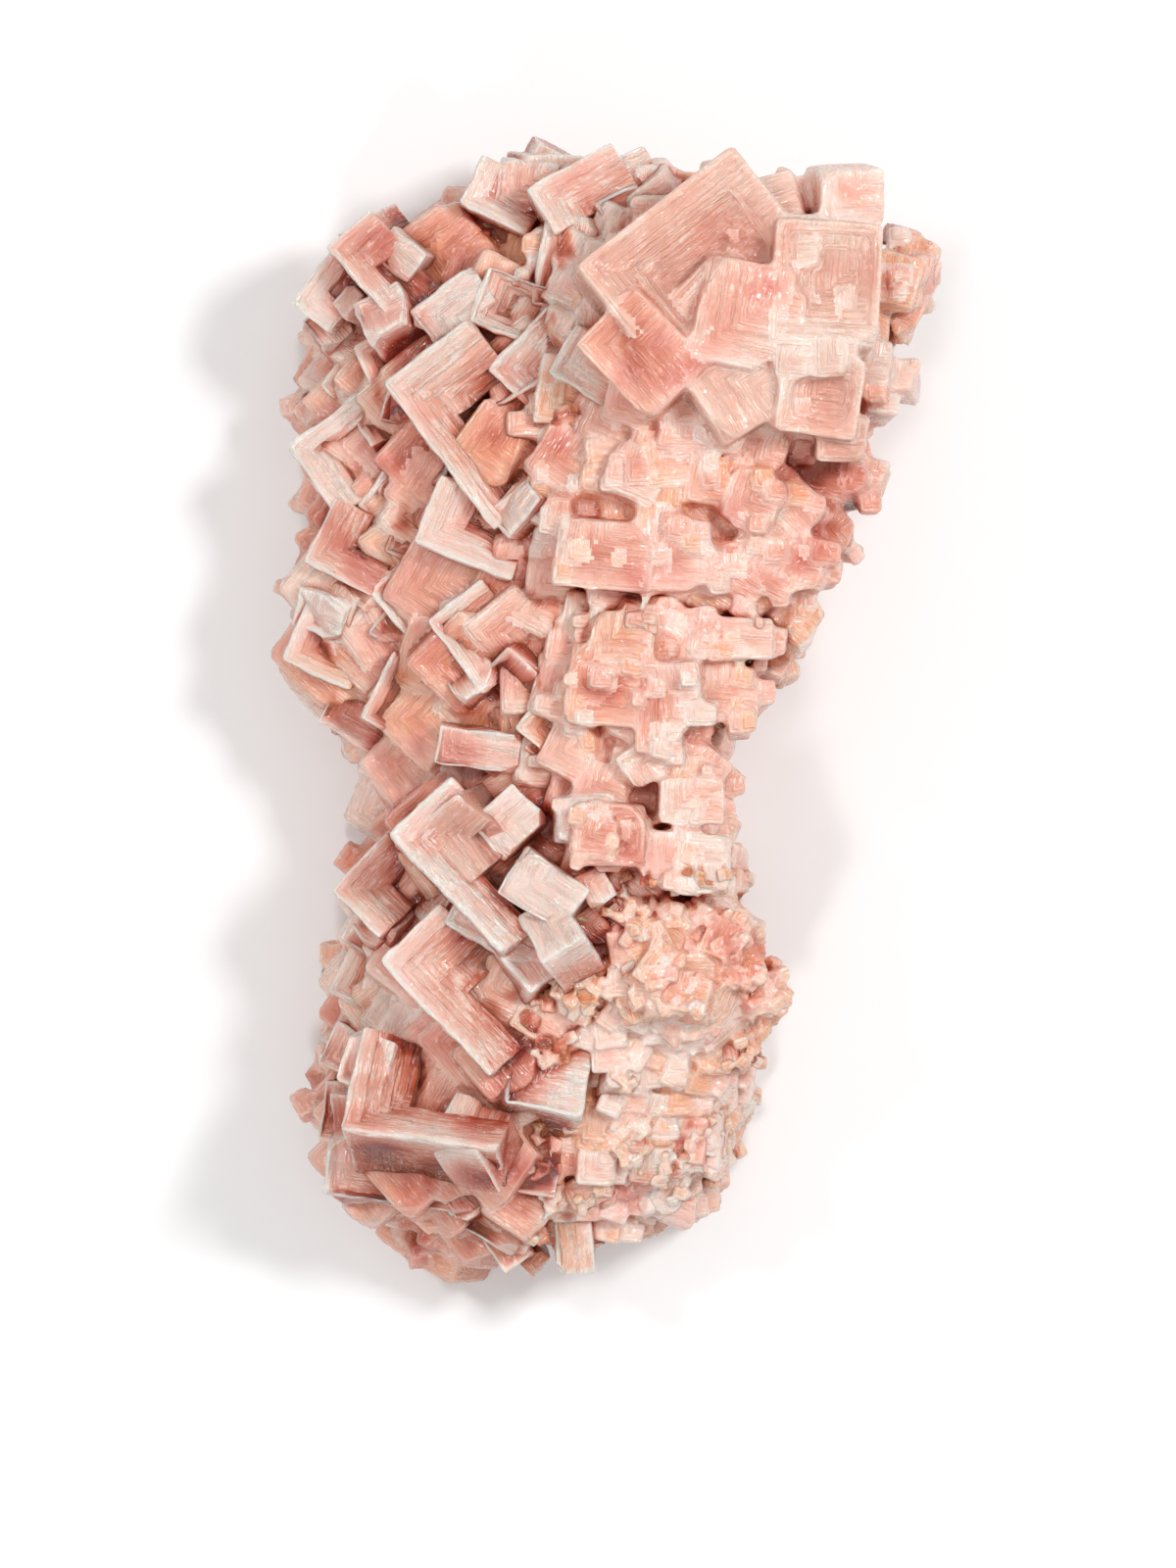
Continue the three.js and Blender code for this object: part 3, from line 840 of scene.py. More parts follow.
@dataclass
class Grains:
    """Small crystals strewn by fixed draws."""

    narrowest: float = 0.7
    broadest: float = 1.2
    most_lean: float = 25
    count: int = 66  # of the larger ones, strewn over the crust
    sizes: Pair = (5, 10)  # of those
    reach: Pair = (-14, 194)  # the angles round a section that the mosaic covers
    split: float = -14  # left of this x the mosaic is coarser and turned otherwise
    others: tuple[Finish, ...] = (MILKY, PALE, ROSY, FROSTED, CLEAR)
    left: tuple[Finish, ...] = (ROSY, MILKY, MILKY, WARM)
    right: tuple[Finish, ...] = (MILKY, PALE, SUGARY, PALE, MILKY)

    def grain(self, centre: Vector, size: float, draws: Draws, finish: Finish) -> Crystal:
        """A loose block centred on a point in millimetres."""
        arms = (size, size * draws.between(self.narrowest, self.broadest), size)
        spin = draws.between(0, 90)
        lean = tuple(draws.between(-self.most_lean, self.most_lean) for _ in range(2))
        return centred(centre, arms, spin, lean, finish)

    def strewn(self, crust: Crust) -> list[Crystal]:
        """The crystals strewn over the crust."""
        draws = Draws(7)
        top, bottom = crust.sections[1][0], crust.sections[-2][0]
        found = []
        for _ in range(self.count):
            centre = crust.point(draws.between(bottom, top), draws.between(0, math.pi))
            finish = MILKY if centre.x < 0 else PALE
            found.append(self.grain(centre, draws.between(*self.sizes), draws, finish))
        return found

    def mosaic(self, crust: Crust, pitch: float, draws: Draws) -> list[Crystal]:
        """Cubes that cover the crust side by side, nearly parallel, each a little higher or lower.

        Args:
            crust: The crust that they cover.
            pitch: How far apart they are, in millimetres.
            draws: The series of draws.

        Returns:
            The crystals.
        """
        found = []
        top, bottom = crust.sections[0][0] - 3, crust.sections[-1][0] + 3
        rows = int((top - bottom) / pitch)
        for row in range(rows + 1):
            y = bottom + (top - bottom) * row / rows
            angle, walked = math.radians(self.reach[0]), 0.0
            before = crust.point(y, angle)
            goal = pitch * draws.between(0.1, 1)
            while angle < math.radians(self.reach[1]):
                angle += 0.01
                spot = crust.point(y, angle)
                walked += (spot - before).length
                out = Vector((spot.z - before.z, 0, before.x - spot.x))
                before = spot
                if walked < goal or out.length < 1e-6:
                    continue
                goal = walked + pitch * draws.between(0.8, 1.2)
                out.normalize()
                coarse = spot.x <= self.split
                size = pitch * draws.between(1.15, 1.6) * (1.5 if coarse else 1)
                spin = 50 + draws.between(-18, 18) if coarse else 78 + draws.between(-24, 24)
                lean = (out.x * 20 + draws.between(-13, 13), draws.between(-14, 14))
                arms = (size, size * draws.between(0.75, 1.25), size * 1.1)
                shift = Vector((0, draws.between(-0.3, 0.3) * pitch, 0))
                centre = spot + shift + out * (draws.between(-0.45, 0.1) * size)
                if centre.z > 1:
                    choice = self.left if centre.x < -12 or centre.z < 14 else self.right
                    finish = choice[draws.whole(len(choice))]
                    found.append(centred(centre, arms, spin, lean, finish))
        return found

    def mound(self, mound: "Mound") -> list[Crystal]:
        """The crystals over a mound's top and upper sides."""
        draws = Draws(mound.seed)
        found = []
        for _ in range(mound.count):
            turn = draws.between(0, 2 * math.pi)
            rise = draws.between(-0.2, 1)
            out = math.sqrt(1 - rise * rise)
            toward = (out * math.cos(turn), out * math.sin(turn), rise)
            spot = Vector(mound.centre[i] + mound.half[i] * toward[i] for i in range(3))
            found.append(self.grain(spot, draws.between(*mound.sizes), draws, SUGARY))
        return found

    def companions(self, crystals: list[Crystal], company: "Company", draws: Draws) -> list[Crystal]:
        """Crystals that grow into others, turned nearly as they are.

        Args:
            crystals: The crystals that carry them.
            company: How many there are, how large and how far off.
            draws: The series of draws.

        Returns:
            The companions.
        """
        found = []
        tumble = company.tumble
        for bearer in crystals:
            for _ in range(company.count):
                size = draws.between(*company.shares) * bearer.shorter()
                arms = (size, size * draws.between(0.7, 1.4), min(12, bearer.arms[2] * 0.8))
                inset, slide = draws.between(0.05, 0.75), draws.between(-0.5, 0.5)
                reach = [(inset + slide) * bearer.arms[0], (inset - slide) * bearer.arms[1]]
                own = bearer.place() @ Vector((*reach, draws.between(*company.sunk)))
                spin = bearer.spin + draws.between(-tumble, tumble) / 2
                lean = tuple(tip + draws.between(-tumble, tumble) for tip in bearer.lean)
                stepped, other = draws.whole(2), draws.whole(2 * len(self.others))
                steps = 2 if bearer.steps and stepped else 0
                finish = self.others[other] if other < len(self.others) else bearer.finish
                found.append(Crystal(tuple(own / MM), arms, spin, lean, steps=steps, finish=finish))
        return found


def copied(name: str, crystals: list[Crystal], patterns: list[Thing]) -> Thing:
    """Copy the patterns to where small crystals grew and join them into one piece.

    Args:
        name: The piece's name.
        crystals: The small crystals.
        patterns: Grains one unit long, taken in turn.

    Returns:
        The piece.
    """
    laid = []
    for number, crystal in enumerate(crystals):
        pattern = patterns[number % len(patterns)]
        copy = pattern.copy()
        copy.data = pattern.data.copy()
        copy.matrix_world = crystal.place() @ Matrix.Diagonal((*crystal.arms, 1))
        bpy.context.scene.collection.objects.link(copy)
        note_growth(copy, crystal)
        laid.append(copy)
    return join(laid, name)


PALE_SALT = (MILKY, PALE, SUGARY)
SWEET_SALT = (SUGARY, PALE, WARM, SUGARY)
MIXED_SALT = (MILKY, ROSY, WARM)


@dataclass(frozen=True)
class Sowing:
    """Fine salt that grew over one region, a box in millimetres with open sides."""

    name: str
    rays: int
    low: Triple
    high: Triple
    sizes: Pair  # smallest and largest grain, in millimetres
    steepest: float  # how far from straight down a ray may come in, in degrees
    finishes: tuple[Finish, ...]
    aligned: bool = False  # whether the grains keep to the direction of the crystals round them

    def holds(self, spot: Vector) -> bool:
        """Whether a spot in millimetres lies in the region."""
        return all(self.low[axis] < spot[axis] <= self.high[axis] for axis in range(3))


ANY = math.inf
SOWINGS = (
    Sowing("upper_grains", 900, (-14, 14, -ANY), (ANY, ANY, 57), (1.5, 4.5), 60, PALE_SALT, True),
    Sowing("waist_grains", 900, (-12, -32, -ANY), (ANY, 14, ANY), (1.5, 4.0), 60, PALE_SALT, True),
    Sowing("sugar_grains", 5200, (-12, -ANY, -ANY), (ANY, -26, ANY), (1.0, 2.8), 78, SWEET_SALT),
    Sowing("side_grains", 900, (-ANY, -ANY, -ANY), (ANY, ANY, 24), (2.2, 5.5), 88, MIXED_SALT),
)


@dataclass
class Sprinkle:
    """Fine salt laid on the pieces where rays from outside meet them."""

    ground: BVHTree
    draws: Draws
    lowest: float = 2.2  # no grain lies lower, in millimetres
    aims: tuple[Pair, ...] = ((-56, 58), (-97, 98), (2, 40))  # where the rays aim, along each axis
    grain_lean: float = 32
    aligned_lean: float = 9
    sunk: Pair = (0.1, 0.35)  # of a grain's size, how deep it sits

    def lay(self, sowing: Sowing) -> list[Crystal]:
        """Lay grains.

        Args:
            sowing: The region, and the grains that it gets.

        Returns:
            The grains.
        """
        draws = self.draws
        laid = []
        for _ in range(sowing.rays):
            aim = Vector([draws.between(*side) for side in self.aims]) * MM
            turn = draws.between(0, 2 * math.pi)
            tip = math.radians(draws.between(0, sowing.steepest))
            flat = math.sin(tip)
            come = Vector((flat * math.cos(turn), flat * math.sin(turn), math.cos(tip)))
            chance, size = draws.between(0, 1), draws.between(*sowing.sizes) * draws.between(0.75, 1.0)
            spin, leans = draws.between(0, 90), [draws.between(-1, 1) for _ in range(2)]
            finish = sowing.finishes[draws.whole(len(sowing.finishes))]
            spot, normal, _, _ = self.ground.ray_cast(aim + come * 0.3, -come)
            if spot is None or spot.z < self.lowest * MM or not sowing.holds(spot / MM):
                continue
            if sowing.aligned:
                spin = 78 + spin / 6
            most = self.aligned_lean if sowing.aligned else self.grain_lean
            lean = tuple(tip * most for tip in leans)
            arms = (size, size * (0.75 + chance / 2), size * 1.1)
            middle = Crystal((0, 0, 0), arms, spin, lean).middle()
            origin = (spot - middle - normal * size * MM * draws.between(*self.sunk)) / MM
            laid.append(Crystal(tuple(origin), arms, spin, lean, finish=finish))
        return laid


def by_math(operation: str, turned: bool = False) -> Callable[["Wire", "Number"], "Wire"]:
    """The method by which one of Python's operators adds a Math node.

    Args:
        operation: The node's operation.
        turned: Whether the wire is the second term.

    Returns:
        The method.
    """

    def add_node(wire: "Wire", other: "Number") -> "Wire":
        """Add the node."""
        return wire.bench.maths(operation, *((other, wire) if turned else (wire, other)))

    return add_node


class Wire:
    """A value in a shader, on which Python's operators add Math nodes."""

    def __init__(self, bench: "Bench", socket: bpy.types.NodeSocket) -> None:
        """Wrap an output socket."""
        self.bench = bench
        self.socket = socket

    __add__, __radd__ = by_math("ADD"), by_math("ADD", True)
    __sub__, __rsub__ = by_math("SUBTRACT"), by_math("SUBTRACT", True)
    __mul__, __rmul__ = by_math("MULTIPLY"), by_math("MULTIPLY", True)


Number = float | Wire
Colour = tuple[float, float, float, float]


class Bench:
    """Where one material's nodes are laid out."""

    def __init__(self, name: str) -> None:
        """Start a material with an empty tree."""
        self.material = bpy.data.materials.new(name)
        self.material.use_nodes = True
        self.tree = self.material.node_tree
        self.tree.nodes.clear()

    def node(self, kind: str, settings: dict | None = None, values: dict | None = None) -> bpy.types.Node:
        """Add a node, set its settings and then fill its sockets.

        Args:
            kind: The node's type, without the ShaderNode in front.
            settings: Attribute names and values.
            values: Input names or numbers, with values or wires.

        Returns:
            The node.
        """
        made = self.tree.nodes.new("ShaderNode" + kind)
        for name, value in (settings or {}).items():
            setattr(made, name, value)
        for name, value in (values or {}).items():
            if isinstance(value, Wire):
                self.tree.links.new(value.socket, made.inputs[name])
            else:
                made.inputs[name].default_value = value
        return made

    def out(
        self, kind: str, output: str | int, settings: dict | None = None, values: dict | None = None
    ) -> Wire:
        """Add a node and return one of its outputs."""
        return Wire(self, self.node(kind, settings, values).outputs[output])

    def maths(self, operation: str, *terms: Number) -> Wire:
        """A Math node on up to three values."""
        return self.out("Math", 0, {"operation": operation}, dict(enumerate(terms)))

    def limit(self, value: Number) -> Wire:
        """A value held between 0 and 1."""
        return self.out("Math", 0, {"operation": "ADD", "use_clamp": True}, {0: value, 1: 0.0})

    def ease(self, value: Wire, low: float, high: float) -> Wire:
        """A smooth rise from 0 at low to 1 at high."""
        values = {"Value": value, "From Min": low, "From Max": high}
        return self.out("MapRange", 0, {"interpolation_type": "SMOOTHSTEP"}, values)

    def dot(self, first: Wire, second: Wire) -> Wire:
        """The dot product of two vectors."""
        return self.out("VectorMath", "Value", {"operation": "DOT_PRODUCT"}, {0: first, 1: second})

    def vector(self, operation: str, first: Wire, second: "Wire | Triple") -> Wire:
        """A Vector Math node on two vectors."""
        return self.out("VectorMath", "Vector", {"operation": operation}, {0: first, 1: second})

    def scaled(self, value: Wire, factor: Number) -> Wire:
        """A vector times a number."""
        return self.out("VectorMath", "Vector", {"operation": "SCALE"}, {0: value, "Scale": factor})

    def mix(self, share: Number, first: "Wire | Colour", second: "Wire | Colour", blend: str = "MIX") -> Wire:
        """Two colours mixed by a share, in one of Mix's ways."""
        settings = {"data_type": "RGBA", "blend_type": blend}
        return self.out("Mix", 2, settings, {0: share, 6: first, 7: second})

    def ramp(self, value: Wire, stops: list[tuple[float, Colour]]) -> Wire:
        """A colour from a value by a list of stops."""
        made = self.node("ValToRGB", None, {0: value})
        elements = made.color_ramp.elements
        elements[0].position, elements[0].color = stops[0]
        elements[1].position, elements[1].color = stops[-1]
        for place, colour in stops[1:-1]:
            elements.new(place).color = colour
        return Wire(self, made.outputs[0])

    def parts(self, vector: Wire) -> list[Wire]:
        """A vector's three parts."""
        split = self.node("SeparateXYZ", None, {0: vector})
        return [Wire(self, output) for output in split.outputs]

    def least(self, values: list[Wire]) -> Wire:
        """The least of several values."""
        lowest = values[0]
        for value in values[1:]:
            lowest = self.maths("MINIMUM", lowest, value)
        return lowest

    def attribute(self, name: str) -> Wire:
        """A vector noted on the faces."""
        return self.out("Attribute", "Vector", {"attribute_name": name})

    def noise(self, place: Wire, scale: float, detail: float = 2, roughness: float = 0.5) -> Wire:
        """Cloudy noise from 0 to 1 about a place."""
        values = {"Vector": place, "Scale": scale, "Detail": detail, "Roughness": roughness}
        return self.out("TexNoise", 0, None, values)


class Patterns:
    """What the salt's colour and relief follow, from the crystal that a spot lies on and its place on it."""

    def __init__(self, bench: Bench, facet_size: float) -> None:
        """Lay out the patterns.

        Args:
            bench: Where the nodes are laid out.
            facet_size: The size of the facets that glint, in millimetres.
        """
        place = bench.out("TexCoord", "Object")
        spot = bench.scaled(place, 1 / MM)
        self.normal = bench.out("NewGeometry", "Normal")
        along, across = bench.attribute("along"), bench.attribute("across")
        inward = bench.vector("CROSS_PRODUCT", along, across)
        corner = bench.attribute("corner")
        offset = bench.scaled(bench.vector("SUBTRACT", place, corner), 1 / MM)
        axes = (along, across, inward)
        arms = bench.parts(bench.attribute("arms"))
        reach = [bench.dot(offset, axis) for axis in axes]
        facing = [bench.maths("ABSOLUTE", bench.dot(self.normal, axis)) for axis in axes]
        # A face isn't an edge of itself, so its own axis is set aside
        aside = [60 * bench.maths("GREATER_THAN", share, 0.8) for share in facing]
        edge = bench.least([reach[axis] + aside[axis] for axis in range(3)])
        self.rim = bench.least([edge, *(arms[axis] - reach[axis] + aside[axis] for axis in range(2))])
        self.depth = reach[2]
        self.tone, frost, self.warmth = bench.parts(bench.attribute("finish"))
        self.own = bench.out("TexWhiteNoise", 0, {"noise_dimensions": "3D"}, {"Vector": corner})
        self.drift = bench.noise(spot, 0.04, 1)
        self.cloud = bench.noise(spot, 0.1, 1, 0.55)
        self.mottle = bench.noise(spot, 0.42, 2, 0.65)
        wavy = edge + self.mottle * 0.7
        values = {"W": wavy, "Scale": 1.0, "Detail": 2, "Roughness": 0.7}
        lines = bench.out("TexNoise", 0, {"noise_dimensions": "1D"}, values)
        banded = bench.ease(self.cloud + self.mottle * 0.3, 0.4, 0.75)
        self.lamellae = (bench.ease(lines, 0.4, 0.6) - 0.5) * banded
        contour = {0: wavy * 2.2, 1: (reach[0] + reach[1]) * 0.25, 2: self.depth * 1.2}
        self.silk = bench.noise(bench.out("CombineXYZ", 0, None, contour), 1.0, 2, 0.65)
        self.open_air = bench.out("Attribute", "Fac", {"attribute_name": "open"})
        self.facets = bench.out("TexVoronoi", "Color", None, {"Vector": spot, "Scale": 1 / facet_size})
        veil = bench.ease(self.silk + (self.mottle - 0.5) * 0.6 + (self.cloud - 0.5) * 0.5, 0.45, 0.8)
        self.frosty = bench.limit((frost + 0.25) * veil * bench.ease(self.open_air, 0.3, 0.9))


@dataclass(frozen=True)
class PinkSalt:
    """Translucent pink salt, rosy inside, with painted highlight pale on its edges and painted shade, dark
    red, in the deep gaps.
    """

    name: str = "pink_salt"
    refraction: float = 1.544
    polish: float = 0.2  # the roughness of a clear, even face
    # dark and deep are reached mostly by painted shade, in the deep gaps and low in each crystal
    dark: Colour = (0.2, 0.004, 0.001, 1)
    deep: Colour = (0.42, 0.04, 0.018, 1)
    middle: Colour = (0.67, 0.23, 0.175, 1)
    pale: Colour = (0.88, 0.52, 0.44, 1)
    palest: Colour = (0.97, 0.77, 0.71, 1)
    white: Colour = (0.98, 0.87, 0.81, 1)
    orange: Colour = (0.9, 0.38, 0.17, 1)
    cool: Colour = (0.78, 0.55, 0.42, 1)
    shade_from: float = 0.2  # the openness where the painted shade, deep red in the gaps, begins to fade
    shade_to: float = 0.95  # and where it is gone
    painted_depth_shade: float = 0.5  # how much painted shade, darker and redder, falls deep below a crystal's corner, on its sides and in its hollows
    own_tone: float = 0.52  # how far one crystal's tone may lie from the next one's
    dimness: float = 0.08
    edge_highlight_white: float = 0.75  # how white the painted highlight along the edges is
    veil_white: float = 0.9  # how white the frosted patches are
    subsurface: float = 0.8
    scatter: Triple = (1.0, 0.5, 0.4)
    scatter_length: float = 0.0018  # metres
    gloss: float = 0.6
    transmission: float = 0.2
    grain_depth: float = 0.0003  # metres
    facets: float = 1.0  # how far the small facets tilt
    facets_all_over: float = 0.05  # and how much of it shows where there is no frost
    facet_size: float = 0.55  # millimetres

    def make(self) -> bpy.types.Material:
        """Lay out the material.

        Returns:
            The material.
        """
        bench = Bench(self.name)
        salt = Patterns(bench, self.facet_size)
        shader = bench.node(
            "BsdfPrincipled",
            {"subsurface_method": "RANDOM_WALK"},
            {
                "Base Color": self.colour(bench, salt),
                "Roughness": bench.limit(self.polish + salt.frosty * 0.15 + (salt.mottle - 0.5) * 0.3),
                "Normal": self.surface(bench, salt),
                "IOR": self.refraction,
                "Subsurface Weight": self.subsurface,
                "Subsurface Radius": self.scatter,
                "Subsurface Scale": self.scatter_length,
                "Transmission Weight": self.transmission,
                "Specular IOR Level": self.gloss,
            },
        )
        bench.node("OutputMaterial", None, {"Surface": Wire(bench, shader.outputs[0])})
        return bench.material

    def colour(self, bench: Bench, salt: Patterns) -> Wire:
        """The salt's colour.

        Args:
            bench: Where the nodes are laid out.
            salt: The patterns that it follows.

        Returns:
            The colour.
        """
        inner = bench.ease(salt.rim + (salt.mottle - 0.5) * 4, 0.2, 6.0)
        # light: the ramp's place, set by painted shade where little open air is seen and deep below each
        # crystal's corner, and by the salt's own tones
        light = (
            # painted shade: darker and deep red where a spot sees little open air, in gaps and crevices
            bench.ease(salt.open_air, self.shade_from, self.shade_to)
            - inner * 0.28
            + (salt.drift - 0.5) * 1.2
            + (salt.cloud - 0.5)
            + (salt.mottle - 0.5) * 0.2
            + (salt.tone - 0.5) * 0.3
            + (salt.silk - 0.5) * 0.3
            + (salt.own - 0.5) * self.own_tone
            # painted shade: darker and redder deeper below the crystal's corner, on side walls and in hollows
            - bench.ease(salt.depth, 0.3, 9.0) * self.painted_depth_shade
            - self.dimness
        )
        tones = (self.dark, self.deep, self.middle, self.pale, self.palest)
        body = bench.ramp(bench.limit(light), list(zip((0.0, 0.14, 0.4, 0.72, 1.0), tones)))
        stained = bench.ease(salt.cloud + salt.mottle * 0.4, 0.45, 0.85) * 0.6 + 0.14
        body = bench.mix(bench.limit(salt.warmth * stained), body, self.orange)
        clear = bench.limit(bench.ease(1 - salt.warmth, 0.75, 1.0) * 0.5 * salt.open_air)
        body = bench.mix(clear, body, self.cool)
        # painted highlight: white along the open edges of each crystal; the frosted patches and growth lines
        # that join it are the salt's own colour
        edge_highlight_mask = 1 - bench.ease(salt.rim + (salt.mottle - 0.5) * 1.6, 0.0, 1.2)
        painted_edge_highlight = edge_highlight_mask * bench.ease(salt.open_air, 0.55, 0.95) * self.edge_highlight_white
        highlight_and_frost = painted_edge_highlight + salt.frosty * self.veil_white + salt.lamellae * 0.14 * salt.open_air
        return bench.mix(bench.limit(highlight_and_frost), body, self.white)

    def surface(self, bench: Bench, salt: Patterns) -> Wire:
        """The salt's fine relief: growth lines, waves, and facets that glint one by one.

        Args:
            bench: Where the nodes are laid out.
            salt: The patterns that it follows.

        Returns:
            The normal.
        """
        tilt = bench.vector("SUBTRACT", salt.facets, (0.5, 0.5, 0.5))
        tilt = bench.scaled(tilt, (self.facets_all_over + salt.frosty) * self.facets)
        values = {
            "Strength": 0.9,
            "Distance": self.grain_depth,
            "Height": salt.lamellae + salt.silk * 1.2 + salt.mottle * 1.5 + salt.cloud * 6.0,
            "Normal": bench.vector("NORMALIZE", bench.vector("ADD", salt.normal, tilt), (0, 0, 0)),
        }
        return bench.out("Bump", 0, None, values)


@dataclass(frozen=True)
class GrownSalt(PinkSalt):
    """The same salt where it grew as many small facets, which glint one by one."""

    name: str = "grown_salt"
    transmission: float = 0.1
    facets: float = 0.8
    facets_all_over: float = 0.3
    facet_size: float = 0.8
    scatter_length: float = 0.0024
    shade_from: float = 0.0
    shade_to: float = 0.8
    painted_depth_shade: float = 0.12
    own_tone: float = 0.35
    dimness: float = 0.17
    edge_highlight_white: float = 0.25
    veil_white: float = 0.3


@dataclass
class Specimen:
    """The whole cluster: its crystals, its crust and the fine salt on them."""

    carver: Carver = field(default_factory=Carver)
    crust: Crust = field(default_factory=Crust)
    grains: Grains = field(default_factory=Grains)
    mounds: tuple[Mound, ...] = (
        Mound((13, -44, 26), (15, 16, 20), 34, (5, 9), 11),
        Mound((8, -70, 16), (11, 13, 17), 24, (4, 8), 5),
    )
    coarse_pitch: float = 6.0  # of the mosaic over the crust, the upper right and the waist
    fine_pitch: float = 3.6  # of the mosaic over the sugary mass
    longest_edge: float = 2.4  # on a crisp piece, in millimetres
    wave: float = 0.5  # how far a crisp piece is ruffled, in millimetres

    def build(self) -> list[Thing]:
        """Build every piece.

        Returns:
            The pieces, the crisp ones first.
        """
        draws = Draws(97)
        patterns = [self.pattern(Draws(seed)) for seed in (3, 5, 9)]
        columns = self.carved(TOP_LEFT + LEFT_COLUMNS, Company(3, (0.5, 0.9), (1, 6), 27), draws)
        columns = unite(columns, "hopper_columns")
        fans = self.carved(LOWER_FANS, Company(3, (0.45, 0.8), (1, 7), 27), draws)
        crisp = [columns, unite(fans, "hopper_fans")]
        soft = self.grown(patterns, draws)
        for piece in soft:
            cut_flat(piece)
        for pattern in patterns:
            discard(pattern)
        for piece in crisp:
            refine(piece, self.longest_edge * MM, self.wave * MM)
        note_openness(crisp + soft)
        for group, material in ((crisp, PinkSalt().make()), (soft, GrownSalt().make())):
            for piece in group:
                self.finish_piece(piece, material, group is soft)
        return crisp + soft

    def grown(self, patterns: list[Thing], draws: Draws) -> list[Thing]:
        """Build the pieces whose crystals grew together.

        Args:
            patterns: Grains one unit long.
            draws: The series of draws.

        Returns:
            The pieces.
        """
        paved = self.paving(patterns)
        upper = self.carved(UPPER_RIGHT, Company(4, (0.3, 0.65), (0.3, 4), 14), draws)
        waist = self.carved(WAIST_RIGHT, Company(5, (0.35, 0.75), (-0.3, 3), 16), draws)
        fillings = [self.filling(low, high) for low, high in FILLED]
        strewn = [self.carver.carve(crystal) for crystal in self.grains.strewn(self.crust)]
        mounds = []
        for mound in self.mounds:
            mounds.append(mound.ball())
            mounds += [self.carver.carve(crystal) for crystal in self.grains.mound(mound)]
        upper_mass = join([*upper, paved["upper"]], "upper_mass")
        waist_mass = join([*waist, paved["waist"]], "waist_mass")
        crust = join([self.crust.build(), *strewn, *fillings, paved["crust"]], "salt_crust")
        sprinkle = Sprinkle(search_tree([*mounds, upper_mass, waist_mass, crust]), Draws(413))
        fine = [copied(sowing.name, sprinkle.lay(sowing), patterns) for sowing in SOWINGS]
        return [
            melt([upper_mass, fine[0]], "upper_mass", voxel=0.68 * MM, rounds=7),
            melt([waist_mass, fine[1]], "waist_mass", voxel=0.52 * MM, rounds=7),
            melt([*mounds, paved["sugar"], fine[2]], "sugary_mass", voxel=0.48 * MM, rounds=1),
            melt([crust, fine[3]], "salt_crust", voxel=1.0 * MM, rounds=1),
        ]

    def paving(self, patterns: list[Thing]) -> dict[str, Thing]:
        """The mosaic over the crust, as one object for each region."""
        regions: dict[str, list[Crystal]] = {"upper": [], "waist": [], "sugar": [], "crust": []}
        for pitch in (self.coarse_pitch, self.fine_pitch):
            for crystal in self.grains.mosaic(self.crust, pitch, Draws(211)):
                x, y, _ = crystal.at
                region = "crust" if x < -15 else "upper" if y > 14 else "waist" if y > -34 else "sugar"
                if (region == "sugar") == (pitch == self.fine_pitch):
                    regions[region].append(crystal)
        return {region: copied(region + "_paving", regions[region], patterns) for region in regions}

    def carved(self, crystals: list[Crystal], company: Company, draws: Draws) -> list[Thing]:
        """Carve crystals and the ones that grow into them."""
        every = crystals + self.grains.companions(crystals, company, draws)
        return [self.carver.carve(crystal) for crystal in every]

    def finish_piece(self, thing: Thing, material: bpy.types.Material, soft: bool) -> None:
        """Dress a piece and tie it to the frame."""
        smooth(thing, soft)
        thing.data.materials.clear()
        thing.data.materials.append(material)
        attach(thing, BODY)
        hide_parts(NODE)
        thing.data.calc_loop_triangles()
        log.info("%s: %d triangles", thing.name, len(thing.data.loop_triangles))

    def pattern(self, draws: Draws) -> Thing:
        """A grain one unit long: a cube with rounded edges and three broken corners."""
        grain = cube((0, 0, 0), (1, 1, 1))
        with edit_mode():
            bpy.ops.mesh.select_all(action="SELECT")
            bpy.ops.mesh.bevel(offset=0.06, segments=1, affect="EDGES")
            for corner in ((1, 1, 0), (0, 1, 0), (1, 0, 1)):
                outward = Vector([2 * side - 1 for side in corner])
                toward = (outward + Vector([draws.between(-0.7, 0.7) for _ in range(3)])).normalized()
                break_off(Vector(corner) - toward * draws.between(0.15, 0.3), toward)
        return grain

    def filling(self, low: Triple, high: Triple) -> Thing:
        """A box of salt that fills a closed hollow."""
        thing = cube(low, high)
        settle(thing, Matrix.Scale(MM, 4))
        note_growth(thing, Crystal(low, (1, 1, 1), 0, finish=ROSY))
        return thing


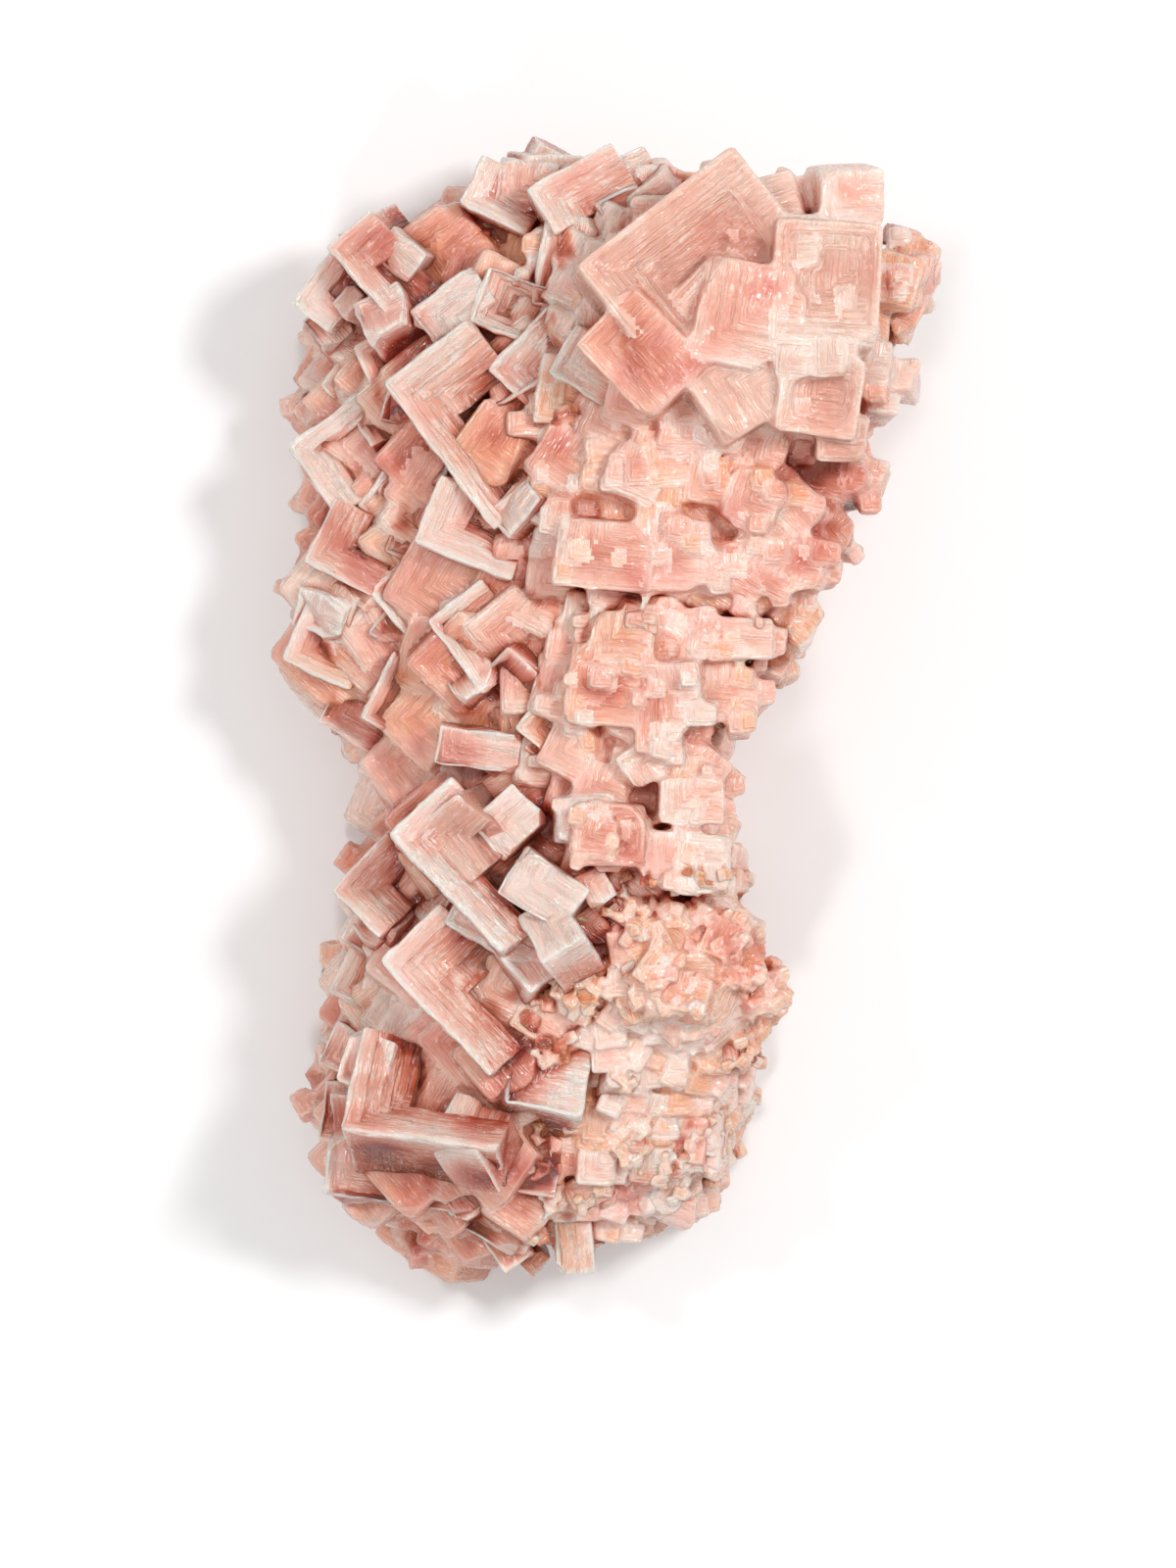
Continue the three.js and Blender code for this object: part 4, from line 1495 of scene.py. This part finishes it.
def build_floor() -> None:
    """Lay the pale floor that the specimen rests on."""
    bpy.ops.mesh.primitive_plane_add(size=6, location=(0, 0, -0.0002))
    floor = bpy.context.object
    floor.name = "floor"
    bench = Bench("pale_floor")
    cloud = bench.noise(bench.out("TexCoord", "Object"), 3)
    colour = bench.mix(cloud, (0.86, 0.86, 0.86, 1), (0.88, 0.88, 0.88, 1))
    shader = bench.node("BsdfPrincipled", None, {"Base Color": colour, "Roughness": 0.8})
    bench.node("OutputMaterial", None, {"Surface": Wire(bench, shader.outputs[0])})
    floor.data.materials.append(bench.material)


def light_and_camera() -> None:
    """Soft light from the right and a camera that looks straight down."""
    world = bpy.data.worlds.new("soft_room")
    bpy.context.scene.world = world
    world.use_nodes = True
    world.node_tree.nodes["Background"].inputs[0].default_value = (1, 1, 1, 1)
    world.node_tree.nodes["Background"].inputs[1].default_value = 0.35
    for name, spot, size, power in (
        ("overhead", (0, 0.1, 1.3), 1.2, 2.5),
        ("key", (0.4, 0.2, 0.65), 0.14, 3.5),
        ("fill", (-0.4, 0.2, 0.6), 0.1, 1.3),
        ("low", (-0.15, -0.4, 0.6), 0.08, 1.2),
    ):
        lamp = bpy.data.lights.new(name, "AREA")
        lamp.size = size
        lamp.energy = power
        holder = bpy.data.objects.new(name, lamp)
        bpy.context.scene.collection.objects.link(holder)
        holder.location = spot
        holder.rotation_euler = (Vector((0, 0, 0.03)) - Vector(spot)).to_track_quat("-Z", "Y").to_euler()
    lens = bpy.data.cameras.new("camera")
    lens.sensor_fit = "AUTO"
    lens.sensor_width = 36
    lens.lens = 120
    lens.clip_start, lens.clip_end = 0.01, 50
    camera = bpy.data.objects.new("camera", lens)
    bpy.context.scene.collection.objects.link(camera)
    camera.location = (-0.00267, -0.0115, 0.919)
    bpy.context.scene.camera = camera
    bpy.context.scene.view_settings.view_transform = "Standard"


def main() -> None:
    """Build the specimen, the floor, the light and the camera."""
    logging.basicConfig(level=logging.INFO, format="%(name)s %(message)s")
    noise.seed_set(NOISE_SEED)
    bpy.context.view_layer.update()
    pieces = Specimen().build()
    log.info("%d pieces", len(pieces))
    build_floor()
    light_and_camera()


if __name__ == "__main__":
    main()
